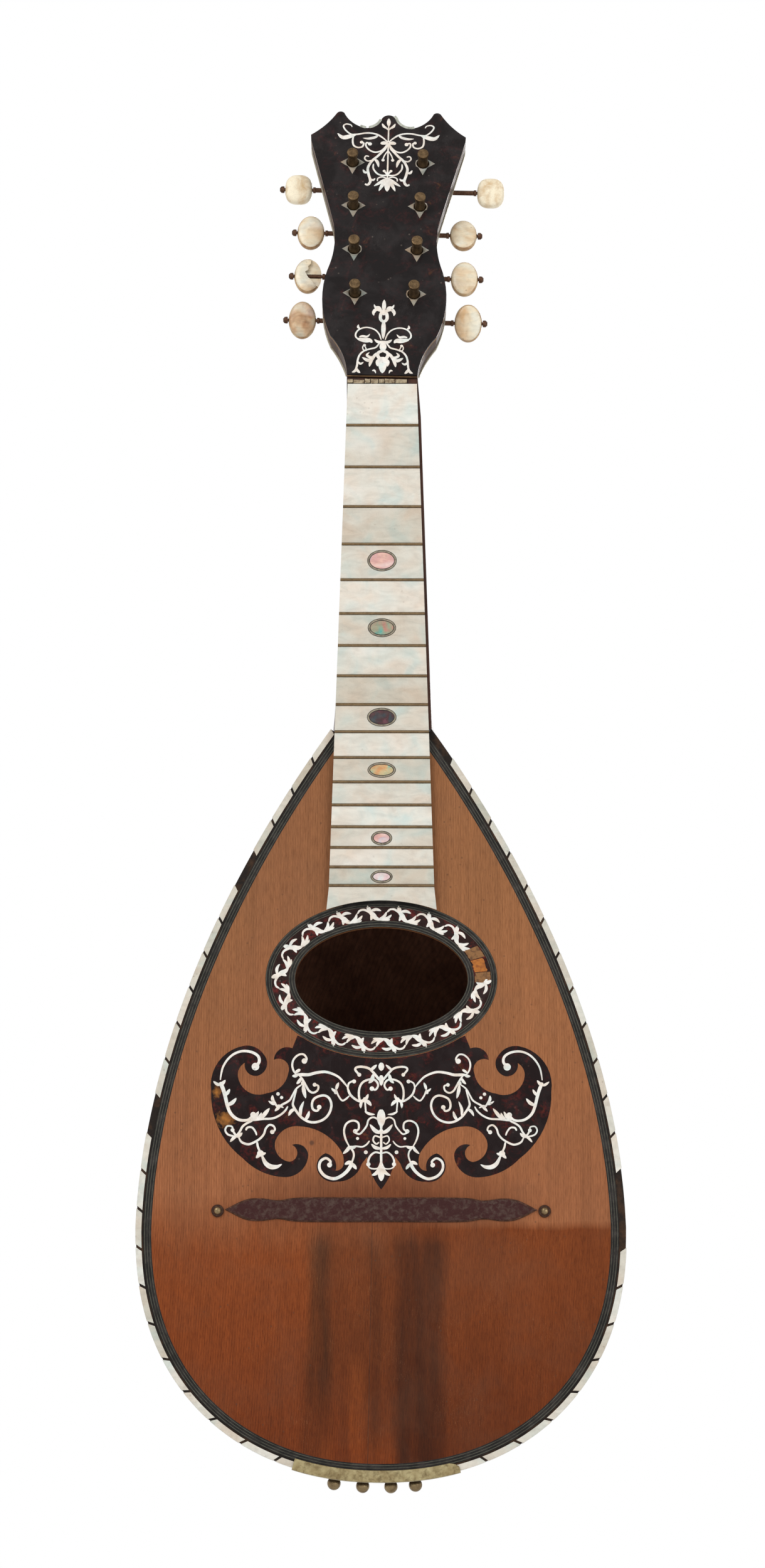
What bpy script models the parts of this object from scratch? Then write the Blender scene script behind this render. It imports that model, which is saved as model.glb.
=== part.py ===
"""A bowl-backed mandolin: staved bowl, canted soundboard, pearl edging and eight worm-geared tuners.

The frame is upright and in metres. +Z runs up the neck to the head, the soundboard faces -Y and
+X is on the right of someone who looks at the soundboard. z is 0 at the nut, and y is 0 on the
flat part of the soundboard.
"""

import math

import bmesh
import bpy
from mathutils import Matrix, Vector

MM = 0.001

# Room left between pieces that touch
GAP = 0.3 * MM

# String length and frets
SCALE_LENGTH = 330 * MM
FRETS = 17
FRET_WIDTH = 1.3 * MM
FRET_HEIGHT = 0.7 * MM

# Outline of the body: two halves of a power curve that meet at the widest place
BODY_HALF_WIDTH = 94 * MM
JOINT_Z = -143 * MM
UPPER_CENTRE_Z = -342.1 * MM
UPPER_LENGTH = 225.5 * MM
UPPER_POWERS = (1.843, 0.975)
LOWER_CENTRE_Z = -339 * MM
LOWER_LENGTH = 94.8 * MM
LOWER_POWERS = (2.304, 0.468)
UPPER_STEPS = 10
LOWER_STEPS = 10

# The soundboard folds back along a line below the bridge
CANT_Z = -338.5 * MM
CANT_SLOPE = math.tan(math.radians(6))

# Bowl
BOWL_INSET = 1.6 * MM
BOWL_WALL = 2.4 * MM
BOWL_TOP = 2.9 * MM
BELLY = 139 * MM
BELLY_Z = -325 * MM
BELLY_UPPER_LENGTH = 217 * MM
BELLY_UPPER_POWER = 1.8
BELLY_LOWER_POWERS = (2.3, 0.5)
SECTION_POWER = 2.25
STAVES = 20
TAIL_CAP_THICK = 1.2 * MM
TAIL_CAP_TOP = 6.4 * MM
TAIL_CAP_SIDE = 9 * MM
TAIL_CAP_DEEP = 36 * MM

# Strips round the edge of the soundboard, measured inward from the outline
PEARL_WIDTH = 3.5 * MM
PEARL_THICK = 2.4 * MM
PEARL_SKIRT = 1.3 * MM
PEARL_SKIRT_DEEP = 6.0 * MM
BOARD_EDGE = 3.8 * MM
PURFLING_WIDTH = 3.6 * MM
PURFLING_THICK = 1.2 * MM
LINING_EDGE = 5.2 * MM
LINING_WIDTH = 5.0 * MM
LINING_DEEP = 7.9 * MM
LINING_TOP_Z = -178 * MM

# Soundboard, and the plates let into it
BOARD_THICK = 2.6 * MM
RECESS = 1.4 * MM
PLATE_THICK = 1.1 * MM
ROSETTE_Z = -242.8 * MM
ROSETTE_OUTER = (45.0 * MM, 30.9 * MM)
ROSETTE_HOLE = (33.5 * MM, 20.6 * MM)
ROSETTE_STEPS = 32
BRACE_THICK = 6 * MM
BRACE_DEEP = 10 * MM
BRACE_Z = {"brace_upper": -211 * MM, "brace_middle": -272 * MM, "brace_lower": -346 * MM}
BRACE_END = 12.5 * MM

# Blocks inside the bowl
NECK_BLOCK_LENGTH = 32 * MM
TAIL_BLOCK_HALF_WIDTH = 32 * MM
TAIL_BLOCK_Z = (-411 * MM, -433 * MM)
TAIL_BLOCK_Y = (18.4 * MM, 44 * MM)

# Bridge marks and pins
BRIDGE_Z = -332.3 * MM
FOOTPRINT_THICK = 0.6 * MM
BRIDGE_PIN_X = 62.6 * MM
BRIDGE_PIN_Z = -332.8 * MM
BRIDGE_PIN_R = 0.8 * MM
HITCH_X = (-17.9 * MM, -6.9 * MM, 3.9 * MM, 13.3 * MM)
HITCH_Y = 22 * MM
HITCH_HEAD_R = 2.6 * MM
HITCH_STANDOFF = 1.9 * MM
HITCH_PIN_R = 1.1 * MM
TAIL_PLATE_X = (-33.6 * MM, 30.2 * MM)
TAIL_PLATE_THICK = 0.5 * MM
TAIL_PLATE_WIDTH = 3.6 * MM
TAIL_PLATE_LIP = 5.4 * MM

# Neck and fingerboard
BOARD_TOP_Z = -0.9 * MM
BOARD_RISE = 3.0 * MM
BOARD_HALF_NUT = 14.1 * MM
BOARD_TAPER = 0.0322
NECK_DEPTH = 15 * MM
NECK_DEPTH_GROWTH = 3 * MM
HEEL_DEPTH = 41.6 * MM
HEEL_HALF_WIDTH = 20.3 * MM
HEEL_START_Z = -98 * MM
NECK_TOP_DEPTH = 8.6 * MM
NECK_STEPS = 12

# Head: its face leans back from a line just above the nut, and the whole of it a little sideways
HEAD_LEAN = math.radians(13)
HEAD_SKEW = math.radians(1.2)
HEAD_FOOT = Vector((0, -2.2 * MM, 2.6 * MM))
HEAD_ROOT = 0.4 * MM
VENEER_THICK = 0.8 * MM
HEAD_BACK = 9.0 * MM
BACK_PLATE_FRONT = 9.3 * MM
BACK_PLATE_THICK = 0.8 * MM

# Tuners, placed on the head: x out from its centre line, s up from its foot
TUNERS = 4
POST_S = 39.1 * MM
POST_STEP_S = 21.35 * MM
POST_X = 12.0 * MM
POST_STEP_X = 0.85 * MM
POST_RISE = 7.4 * MM
POST_HOLE_R = 2.6 * MM
GEAR_TEETH = 12
GEAR_PITCH_R = 3.7 * MM
GEAR_TIP_R = 4.2 * MM
GEAR_ROOT_R = 3.05 * MM
GEAR_THICK = 2.0 * MM
GEAR_BORE_R = 1.8 * MM
WORM_PITCH = math.tau * GEAR_PITCH_R / GEAR_TEETH
WORM_CREST_R = 2.1 * MM
WORM_ROOT_R = 1.0 * MM
WORM_CREST_HALF = 0.22 * MM
WORM_TURNS = 2.5
WORM_SIDES = 8
WORM_BELOW_POST = 5.55 * MM
WORM_DEPTH = 12.6 * MM
LUG_OFFSET = 4.95 * MM
LUG_THICK = 1.3 * MM
LUG_HOLE_R = 1.3 * MM
SHAFT_END_R = 0.7 * MM
KNOB_R = 1.45 * MM
BUTTON_HALF_WIDTH = 5.65 * MM
BUTTON_HALF_HEIGHT = 7.8 * MM
BUTTON_HALF_THICK = 1.7 * MM
BUTTON_HOLE_R = 1.0 * MM
CUSHION_HALF_HEIGHT = 6.4 * MM
CUSHION_HALF_THICK = 2.6 * MM
# Centre of each button from the centre line of the head, and the turn of its face about its shaft
BUTTON_X = {"left": (33.4, 31.8, 31.2, 36.9), "right": (34.4, 32.6, 31.9, 43.0)}
BUTTON_TURN = {"left": (20, 6, 4, 10), "right": (24, 6, -6, 12)}

ARC_STEPS = 3

# Right half of the head's edge in millimetres: (x, s). One point is a straight leg, and two are
# an arc through the first to the second.
HEAD_START = (14.2, 0.4)
PLATE_START = (14.9, 5.5)
HEAD_FIRST_LEG = ((15.6, 8.0), (21.5, 18.8))
PLATE_FIRST_LEG = ((17.0, 11.0), (21.5, 18.8))
HEAD_LEGS = (
    ((25.2, 35.0), (22.6, 53.0)),
    ((20.9, 65.0), (22.6, 77.0)),
    ((32.0, 114.0),),
    ((32.2, 116.6),),
    ((26.1, 121.9), (21.8, 127.6)),
    ((20.3, 128.7), (18.6, 127.9)),
    ((14.6, 122.8), (9.6, 120.5)),
    ((5.6, 121.6), (3.2, 124.4)),
    ((2.0, 126.4), (0.0, 127.1)),
)

# Right half of the pickguard's edge in millimetres: (x, z), from the rosette out, round the wing
# and in to the middle point at the bottom
GUARD_START = (32.4, -264.9)
GUARD_LEGS = (
    ((34.4, -269.9),),
    ((38.6, -270.0), (41.5, -274.4)),
    ((37.0, -275.0), (35.9, -279.6)),
    ((38.2, -284.4), (44.1, -287.4)),
    ((51.2, -287.0), (55.3, -280.9)),
    ((54.9, -278.0), (52.7, -275.6)),
    ((51.6, -279.4), (47.8, -280.7)),
    ((44.5, -277.8), (45.4, -272.4)),
    ((48.9, -269.5), (53.2, -269.0)),
    ((62.3, -274.4), (65.6, -286.5)),
    ((62.4, -301.4), (53.1, -312.6)),
    ((46.0, -317.7), (37.6, -319.8)),
    ((31.0, -317.6), (28.0, -311.4)),
    ((29.8, -308.0), (34.3, -307.4)),
    ((32.2, -310.6), (35.2, -313.9)),
    ((39.4, -311.6), (40.6, -305.6)),
    ((37.4, -301.6), (31.5, -300.2)),
    ((21.5, -303.4), (15.6, -309.4)),
    ((14.5, -312.0), (14.4, -313.9)),
    ((15.2, -316.4), (17.5, -317.3)),
    ((18.4, -312.4), (21.4, -310.6)),
    ((24.4, -313.6), (23.6, -318.9)),
    ((20.6, -321.2), (17.0, -321.5)),
    ((10.6, -319.4), (7.4, -314.6)),
    ((5.4, -312.0),),
    ((3.6, -318.6), (0.0, -324.5)),
)

# Right half of the old glue's edge in millimetres: (x, z above the bridge line)
FOOTPRINT = ((0, 4.4), (30, 4.4), (39, 3.4), (46, 4.1), (52, 3.5), (59.6, 0))

FINISHES = {
    "spruce": ((0.30, 0.12, 0.05), 0.45, 0.0),
    "rosewood": ((0.09, 0.03, 0.02), 0.35, 0.0),
    "walnut": ((0.10, 0.05, 0.03), 0.45, 0.0),
    "inside_wood": ((0.35, 0.22, 0.12), 0.7, 0.0),
    "tortoiseshell": ((0.03, 0.012, 0.01), 0.2, 0.0),
    "pearl": ((0.72, 0.69, 0.62), 0.25, 0.0),
    "black_wood": ((0.02, 0.017, 0.015), 0.4, 0.0),
    "nickel_silver": ((0.45, 0.40, 0.30), 0.35, 1.0),
    "steel": ((0.16, 0.12, 0.09), 0.45, 1.0),
    "brass": ((0.30, 0.20, 0.09), 0.4, 1.0),
    "bone": ((0.75, 0.64, 0.47), 0.35, 0.0),
    "old_glue": ((0.09, 0.045, 0.04), 0.6, 0.0),
}


def finish(name):
    """The material of that name, made once."""
    made = bpy.data.materials.get(name)
    if made:
        return made
    colour, roughness, metallic = FINISHES[name]
    made = bpy.data.materials.new(name)
    made.use_nodes = True
    made.diffuse_color = (*colour, 1)
    shader = made.node_tree.nodes["Principled BSDF"]
    shader.inputs["Base Color"].default_value = (*colour, 1)
    shader.inputs["Roughness"].default_value = roughness
    shader.inputs["Metallic"].default_value = metallic
    return made


def add_piece(name, bm, material, parent=None, location=(0, 0, 0), flat=False):
    """One object from a bmesh, its faces outward. Round parts are smooth, unless it is flat."""
    bmesh.ops.recalc_face_normals(bm, faces=bm.faces)
    mesh = bpy.data.meshes.new(name)
    bm.to_mesh(mesh)
    bm.free()
    mesh.materials.append(finish(material))
    if not flat:
        mesh.shade_smooth()
        mesh.set_sharp_from_angle(angle=math.radians(35))
    piece = bpy.data.objects.new(name, mesh)
    piece.parent = parent
    piece.location = location
    bpy.context.collection.objects.link(piece)
    return piece


def add_cutter(name, bm, parent=None):
    """A helper solid that is left out of the model."""
    cutter = add_piece(name, bm, "steel", parent, flat=True)
    cutter.hide_render = True
    cutter.display_type = "WIRE"
    return cutter


def boolean(piece, cutter, operation="DIFFERENCE"):
    modifier = piece.modifiers.new(cutter.name, "BOOLEAN")
    modifier.operation = operation
    modifier.solver = "EXACT"
    modifier.object = cutter
    modifier.use_hole_tolerant = True


def settle(piece):
    """Takes the modifiers' result as the piece's own mesh."""
    bpy.context.view_layer.update()
    graph = bpy.context.evaluated_depsgraph_get()
    mesh = bpy.data.meshes.new_from_object(piece.evaluated_get(graph))
    piece.modifiers.clear()
    piece.data = mesh


def arc(start, via, end, steps=ARC_STEPS):
    """Points after start, on the circle through the three."""
    (ax, ay), (bx, by), (cx, cy) = start, via, end
    double = 2 * (ax * (by - cy) + bx * (cy - ay) + cx * (ay - by))
    squares = (ax * ax + ay * ay, bx * bx + by * by, cx * cx + cy * cy)
    ux = (squares[0] * (by - cy) + squares[1] * (cy - ay) + squares[2] * (ay - by)) / double
    uy = (squares[0] * (cx - bx) + squares[1] * (ax - cx) + squares[2] * (bx - ax)) / double
    radius = math.hypot(ax - ux, ay - uy)
    first = math.atan2(ay - uy, ax - ux)
    middle = (math.atan2(by - uy, bx - ux) - first) % math.tau
    turn = (math.atan2(cy - uy, cx - ux) - first) % math.tau
    if middle > turn:
        turn -= math.tau
    angles = [first + turn * k / steps for k in range(1, steps + 1)]
    return [(ux + radius * math.cos(a), uy + radius * math.sin(a)) for a in angles]


def trace(start, legs):
    """An edge in metres from legs in millimetres, each a straight line or an arc."""
    points = [start]
    for leg in legs:
        points += arc(points[-1], *leg) if len(leg) == 2 else list(leg)
    return [(x * MM, z * MM) for x, z in points]


def mirrored(half):
    """A closed edge from its right half."""
    return half + [(-x, z) for x, z in reversed(half) if x > 1e-7]


def turn_side(a, b):
    """Unit vector a quarter turn clockwise from the way a to b runs."""
    length = math.hypot(b[0] - a[0], b[1] - a[1])
    return (b[1] - a[1]) / length, (a[0] - b[0]) / length


def inset(points, distance, closed=False, level_ends=True, longest_mitre=2.5):
    """The same edge, moved sideways: clockwise edges go inward. Level ends keep their height."""
    count = len(points)
    moved = []
    for k, (x, z) in enumerate(points):
        if closed or 0 < k < count - 1:
            a = turn_side(points[k - 1], points[k])
            b = turn_side(points[k], points[(k + 1) % count])
            scale = distance / max(1 + a[0] * b[0] + a[1] * b[1], 2 / longest_mitre**2)
            moved.append((x + (a[0] + b[0]) * scale, z + (a[1] + b[1]) * scale))
        else:
            a = turn_side(points[0], points[1]) if k == 0 else turn_side(points[-2], points[-1])
            across, up = (distance / a[0], 0) if level_ends else (a[0] * distance, a[1] * distance)
            moved.append((x + across, z + up))
    return moved


def outline_half_width(z):
    """Half the body's width at a height above its widest place."""
    power, root = UPPER_POWERS
    return BODY_HALF_WIDTH * (1 - ((z - UPPER_CENTRE_Z) / UPPER_LENGTH) ** power) ** root


def tail_z(x):
    """Height of the outline's lower half at a place across the body."""
    power, root = LOWER_POWERS
    along = 1 - (abs(x) / BODY_HALF_WIDTH) ** (1 / root)
    return LOWER_CENTRE_Z - LOWER_LENGTH * along ** (1 / power)


def body_edge(top_z=JOINT_Z):
    """The outline from the neck joint down the right side, round the tail and up the left."""
    power, root = LOWER_POWERS
    right = []
    for k in range(UPPER_STEPS):
        z = top_z + (LOWER_CENTRE_Z - top_z) * k / UPPER_STEPS
        right.append((outline_half_width(z), z))
    for k in range(LOWER_STEPS + 1):
        turn = math.pi / 2 * k / LOWER_STEPS
        x = BODY_HALF_WIDTH * max(math.cos(turn), 0) ** (2 * root)
        right.append((x, LOWER_CENTRE_Z - LOWER_LENGTH * math.sin(turn) ** (2 / power)))
    right[-1] = (0.0, right[-1][1])
    return mirrored(right)


def ellipse(half_axes, centre_z, margin=0.0, steps=ROSETTE_STEPS):
    turns = [math.tau * k / steps for k in range(steps)]
    a, b = half_axes[0] + margin, half_axes[1] + margin
    return [(a * math.cos(t), centre_z + b * math.sin(t)) for t in turns]


def cant(z):
    """How far behind y = 0 the front of the soundboard lies."""
    return max(0.0, (CANT_Z - z) * CANT_SLOPE)


def fold(bm):
    """Bends a solid that was made flat back along the soundboard's fold."""
    everything = bm.verts[:] + bm.edges[:] + bm.faces[:]
    bmesh.ops.bisect_plane(bm, geom=everything, plane_co=(0, 0, CANT_Z), plane_no=(0, 0, 1))
    for vert in bm.verts:
        vert.co.y += cant(vert.co.z)
    return bm


def fold_piece(piece):
    bm = bmesh.new()
    bm.from_mesh(piece.data)
    fold(bm).to_mesh(piece.data)
    bm.free()


def prism(edge, front, back):
    """A flat plate: a closed edge in x and z, from y = front to y = back."""
    bm = bmesh.new()
    face = bm.faces.new([bm.verts.new((x, front, z)) for x, z in edge])
    made = bmesh.ops.extrude_face_region(bm, geom=[face])["geom"]
    moved = [item for item in made if isinstance(item, bmesh.types.BMVert)]
    bmesh.ops.translate(bm, verts=moved, vec=(0, back - front, 0))
    return bm


def loft(rings, caps=True, closed=True):
    """Skins between rings of points. A ring of one point closes to a tip."""
    bm = bmesh.new()
    rows = [[bm.verts.new(point) for point in ring] for ring in rings]
    for near, far in zip(rows, rows[1:]):
        sides = max(len(near), len(far))
        for k in range(sides if closed else sides - 1):
            after = (k + 1) % sides
            corners = [near[k % len(near)], near[after % len(near)]]
            corners += [far[after % len(far)], far[k % len(far)]]
            bm.faces.new(list(dict.fromkeys(corners)))
    if caps:
        for row in (rows[0], rows[-1]):
            if len(row) > 2:
                bm.faces.new(row)
    return bm


def ring_plate(outer, inner, front, back):
    """A flat ring: two closed edges with as many points each."""
    rings = []
    for edge, y in ((outer, front), (outer, back), (inner, back), (inner, front), (outer, front)):
        rings.append([(x, y, z) for x, z in edge])
    bm = loft(rings, caps=False)
    bmesh.ops.remove_doubles(bm, verts=bm.verts, dist=1e-7)
    return bm


def strip(edge, section, level_ends=True):
    """A strip along an open edge. The section's points are (inward from the edge, y)."""
    rows = []
    for inward, y in section:
        moved = inset(edge, inward, level_ends=level_ends)
        rows.append([(x, y, z) for x, z in moved])
    return loft(list(zip(*rows)))


def circle(radius, steps, along, axis="Y"):
    """A ring of points round an axis through the origin."""
    points = []
    for k in range(steps):
        turn = math.tau * k / steps
        c, s = radius * math.cos(turn), radius * math.sin(turn)
        points.append({"X": (along, c, s), "Y": (c, along, s), "Z": (c, s, along)}[axis])
    return points


def turned(profile, steps, axis="Y"):
    """A turned piece from (radius, along) pairs. A radius of 0 closes to a tip."""
    rings = []
    for radius, along in profile:
        ring = circle(radius, steps, along, axis)
        rings.append(ring if radius > 0 else ring[:1])
    return loft(rings)


def joined(parts):
    """One bmesh that holds several, each moved by its own matrix."""
    bm = bmesh.new()
    for part, matrix in parts:
        part.transform(matrix)
        mesh = bpy.data.meshes.new("part")
        part.to_mesh(mesh)
        part.free()
        bm.from_mesh(mesh)
        bpy.data.meshes.remove(mesh)
    return bm


def belly(z, tip_z):
    """Depth of the bowl behind its rim."""
    if z > BELLY_Z:
        return BELLY * (1 - ((z - BELLY_Z) / BELLY_UPPER_LENGTH) ** BELLY_UPPER_POWER)
    power, root = BELLY_LOWER_POWERS
    along = min(1.0, (BELLY_Z - z) / (BELLY_Z - tip_z))
    return BELLY * (1 - along**power) ** root


def bowl_skin(outward=0.0, top_z=JOINT_Z, first_row=0):
    """The bowl's outer face as an open mesh: rows across it, columns along the stave joints."""
    edge = inset(body_edge(top_z), BOWL_INSET)
    half = edge[: UPPER_STEPS + LOWER_STEPS + 1]
    tip_z = half[-1][1]
    rings = []
    for x, z in half[first_row:-1]:
        rim = cant(z) + BOWL_TOP
        ring = []
        for k in range(STAVES + 1):
            turn = math.pi * k / STAVES
            c, s = math.cos(turn), max(math.sin(turn), 0)
            side = math.copysign(abs(c) ** (2 / SECTION_POWER), c)
            ring.append((x * side, rim + belly(z, tip_z) * s ** (2 / SECTION_POWER), z))
        rings.append(ring)
    rings.append([(0, cant(tip_z) + BOWL_TOP, tip_z)])
    bm = loft(rings, caps=False, closed=False)
    bm.normal_update()
    first = bm.faces[:][STAVES // 2]
    if first.normal.y < 0:
        bmesh.ops.reverse_faces(bm, faces=bm.faces)
    bm.normal_update()
    for vert in bm.verts:
        vert.co += vert.normal * outward
    return bm


def inside_of_bowl(margin):
    """A closed body that fills the bowl and stays clear of its wall."""
    bm = bowl_skin(-(BOWL_WALL + margin), JOINT_Z + 8 * MM)
    bm.verts.ensure_lookup_table()
    across = STAVES + 1
    rows = [bm.verts[k : k + across] for k in range(0, len(bm.verts), across)]
    for near, far in zip(rows, rows[1:]):
        bm.faces.new(list(dict.fromkeys((near[0], near[-1], far[-1], far[0]))))
    bm.faces.new(rows[0])
    return bm


def add_skin(name, bm, material, thick, outward):
    """An object whose wall stands on one side of an open skin."""
    mesh = bpy.data.meshes.new(name)
    bm.to_mesh(mesh)
    bm.free()
    mesh.materials.append(finish(material))
    mesh.shade_smooth()
    mesh.set_sharp_from_angle(angle=math.radians(35))
    piece = bpy.data.objects.new(name, mesh)
    bpy.context.collection.objects.link(piece)
    wall = piece.modifiers.new("wall", "SOLIDIFY")
    wall.thickness = thick
    wall.offset = 1 if outward else -1
    wall.use_even_offset = True
    return piece


def hitch_holes():
    """Four drillings along Z for the hitch pins."""
    deep = 30 * MM
    parts = []
    for x in HITCH_X:
        hole = turned(((HITCH_PIN_R + GAP, -deep), (HITCH_PIN_R + GAP, deep)), 8, "Z")
        parts.append((hole, Matrix.Translation((x, HITCH_Y, TAIL_BLOCK_Z[1]))))
    return add_cutter("hitch_holes_cutter", joined(parts))


def make_bowl():
    holes = hitch_holes()
    bowl = add_skin("bowl", bowl_skin(), "rosewood", BOWL_WALL, outward=False)
    boolean(bowl, holes)

    skin = bowl_skin(GAP, first_row=UPPER_STEPS)
    everything = skin.verts[:] + skin.edges[:] + skin.faces[:]
    rim_normal = Vector((0, 1, CANT_SLOPE)).normalized()
    bmesh.ops.bisect_plane(
        skin,
        geom=everything,
        plane_co=(0, TAIL_CAP_TOP, CANT_Z),
        plane_no=rim_normal,
        clear_inner=True,
    )
    tail_tip = tail_z(0)
    deep = Vector((0, cant(tail_tip) + TAIL_CAP_DEEP, tail_tip))
    shallow = Vector((0, TAIL_CAP_TOP + TAIL_CAP_SIDE, CANT_Z))
    lower_edge = Vector((1, 0, 0)).cross(shallow - deep).normalized()
    if lower_edge.y < 0:
        lower_edge.negate()
    everything = skin.verts[:] + skin.edges[:] + skin.faces[:]
    bmesh.ops.bisect_plane(
        skin, geom=everything, plane_co=deep, plane_no=lower_edge, clear_outer=True
    )
    cap = add_skin("tail_cap", skin, "walnut", TAIL_CAP_THICK, outward=True)
    boolean(cap, holes)

    lining = strip(
        body_edge(LINING_TOP_Z),
        (
            (LINING_EDGE, BOARD_THICK + GAP),
            (LINING_EDGE + LINING_WIDTH, BOARD_THICK + GAP),
            (LINING_EDGE + LINING_WIDTH, LINING_DEEP),
            (LINING_EDGE, LINING_DEEP),
        ),
    )
    add_piece("rim_lining", fold(lining), "inside_wood")

    inside = add_cutter("inside_cutter", inside_of_bowl(GAP))

    low = JOINT_Z - NECK_BLOCK_LENGTH
    high = JOINT_Z - GAP
    wide = outline_half_width(low)
    corners = ((-wide, low), (wide, low), (wide, high), (-wide, high))
    neck_block = prism(corners, BOARD_THICK + GAP, HEEL_DEPTH + 40 * MM)
    neck_block = add_piece("neck_block", neck_block, "inside_wood")
    boolean(neck_block, inside, "INTERSECT")

    wide = TAIL_BLOCK_HALF_WIDTH
    high, low = TAIL_BLOCK_Z
    corners = ((-wide, low), (wide, low), (wide, high), (-wide, high))
    tail_block = add_piece("tail_block", prism(corners, *TAIL_BLOCK_Y), "inside_wood")
    boolean(tail_block, inside, "INTERSECT")
    boolean(tail_block, holes)


def make_edging():
    pearl = (
        (0, 0),
        (PEARL_WIDTH, 0),
        (PEARL_WIDTH, PEARL_THICK),
        (PEARL_SKIRT, PEARL_THICK),
        (PEARL_SKIRT, PEARL_SKIRT_DEEP),
        (0, PEARL_SKIRT_DEEP),
    )
    add_piece("pearl_edging", fold(strip(body_edge(), pearl)), "pearl")
    inner = BOARD_EDGE + PURFLING_WIDTH
    purfling = (
        (BOARD_EDGE, 0),
        (inner, 0),
        (inner, PURFLING_THICK),
        (BOARD_EDGE, PURFLING_THICK),
    )
    add_piece("purfling", fold(strip(body_edge(), purfling)), "black_wood")


def guard_edge():
    """The pickguard's closed edge: the rosette's curve on top, then the wings."""
    a, b = (half + 1.2 * GAP for half in ROSETTE_OUTER)
    reach = GUARD_START[0] * MM
    top = []
    for k in range(6):
        x = reach * k / 6
        top.append((x, ROSETTE_Z - b * math.sqrt(1 - (x / a) ** 2)))
    return mirrored(top + trace(GUARD_START, GUARD_LEGS))


def make_soundboard():
    edge = inset(body_edge(JOINT_Z - GAP), BOARD_EDGE)
    board = add_piece("soundboard", prism(edge, 0, BOARD_THICK), "spruce", flat=True)
    beyond = 2 * MM

    hole = prism(ellipse(ROSETTE_HOLE, ROSETTE_Z), -beyond, BOARD_THICK + beyond)
    boolean(board, add_cutter("sound_hole_cutter", hole))
    seat = prism(ellipse(ROSETTE_OUTER, ROSETTE_Z, GAP), -beyond, RECESS)
    boolean(board, add_cutter("rosette_seat_cutter", seat))
    guard = guard_edge()
    seat = prism(inset(guard, -GAP, closed=True), -beyond, RECESS)
    boolean(board, add_cutter("pickguard_seat_cutter", seat))
    ledge_depth = PURFLING_THICK + GAP
    inner = BOARD_EDGE + PURFLING_WIDTH + GAP
    outer = BOARD_EDGE - MM
    ledge = ((outer, -beyond), (inner, -beyond), (inner, ledge_depth), (outer, ledge_depth))
    boolean(board, add_cutter("purfling_ledge_cutter", strip(body_edge(JOINT_Z + MM), ledge)))
    pins = []
    for side in (-1, 1):
        hole = turned(((BRIDGE_PIN_R + GAP, -beyond), (BRIDGE_PIN_R + GAP, beyond * 3)), 8)
        pins.append((hole, Matrix.Translation((side * BRIDGE_PIN_X, 0, BRIDGE_PIN_Z))))
    boolean(board, add_cutter("bridge_pin_holes_cutter", joined(pins)))
    settle(board)
    fold_piece(board)

    ring = ring_plate(
        ellipse(ROSETTE_OUTER, ROSETTE_Z), ellipse(ROSETTE_HOLE, ROSETTE_Z), 0, PLATE_THICK
    )
    add_piece("rosette", ring, "tortoiseshell")
    add_piece("pickguard", prism(guard, 0, PLATE_THICK), "tortoiseshell")

    front = BOARD_THICK + GAP
    for name, z in BRACE_Z.items():
        low = z - BRACE_THICK / 2
        high = z + BRACE_THICK / 2
        width = BODY_HALF_WIDTH if high < UPPER_CENTRE_Z else outline_half_width(high)
        reach = width - BRACE_END
        corners = ((-reach, low), (reach, low), (reach, high), (-reach, high))
        bm = prism(corners, front, front + BRACE_DEEP)
        for vert in bm.verts:
            if vert.co.y > front + MM:
                vert.co.x *= 0.86
        add_piece(name, fold(bm), "inside_wood")


def make_bridge_marks():
    half = [(x * MM, BRIDGE_Z + z * MM) for x, z in FOOTPRINT]
    lower = [(x, 2 * BRIDGE_Z - z) for x, z in reversed(half[:-1])]
    footprint = prism(mirrored(half + lower), -GAP - FOOTPRINT_THICK, -GAP)
    add_piece("bridge_footprint", footprint, "old_glue")
    washer_r, washer, head_r = 2.4 * MM, 0.7 * MM, 1.45 * MM
    profile = (
        (0, -GAP - washer - 1.3 * MM),
        (0.8 * head_r, -GAP - washer - 1.0 * MM),
        (head_r, -GAP - washer - 0.3 * MM),
        (head_r, -GAP - washer),
        (washer_r, -GAP - washer),
        (washer_r, -GAP),
        (BRIDGE_PIN_R, -GAP),
        (BRIDGE_PIN_R, BOARD_THICK + 2 * MM),
    )
    for side, x in (("left", -BRIDGE_PIN_X), ("right", BRIDGE_PIN_X)):
        place = (x, 0, BRIDGE_PIN_Z)
        add_piece(f"bridge_pin_{side}", turned(profile, 10), "brass", location=place)


def make_tail_fittings():
    left, right = TAIL_PLATE_X
    steps = 10
    edge = [(right + (left - right) * k / steps, 0) for k in range(steps + 1)]
    edge = [(x, tail_z(x)) for x, _ in edge]
    out, top = GAP + TAIL_PLATE_THICK, GAP + TAIL_PLATE_THICK
    section = (
        (-out, -top),
        (TAIL_PLATE_WIDTH, -top),
        (TAIL_PLATE_WIDTH, -GAP),
        (-GAP, -GAP),
        (-GAP, TAIL_PLATE_LIP),
        (-out, TAIL_PLATE_LIP),
    )
    add_piece("tail_plate", fold(strip(edge, section, False)), "nickel_silver")
    r = HITCH_HEAD_R
    inside = 15 * MM
    for k, x in enumerate(HITCH_X):
        profile = [(r * math.sin(t), -r * math.cos(t)) for t in (0, 0.7, 1.25, 1.8, 2.35)]
        profile += [(HITCH_PIN_R, 0.8 * r), (HITCH_PIN_R, inside)]
        place = (x, HITCH_Y, tail_z(x) - HITCH_STANDOFF)
        add_piece(f"hitch_pin_{k + 1}", turned(profile, 10, "Z"), "brass", location=place)


def board_half_width(z):
    return BOARD_HALF_NUT - BOARD_TAPER * (z - BOARD_TOP_Z)


def fret_z(number):
    """Equal temperament: each fret takes a twelfth of an octave off the string."""
    return -SCALE_LENGTH * (1 - 2 ** (-number / 12))


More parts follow.
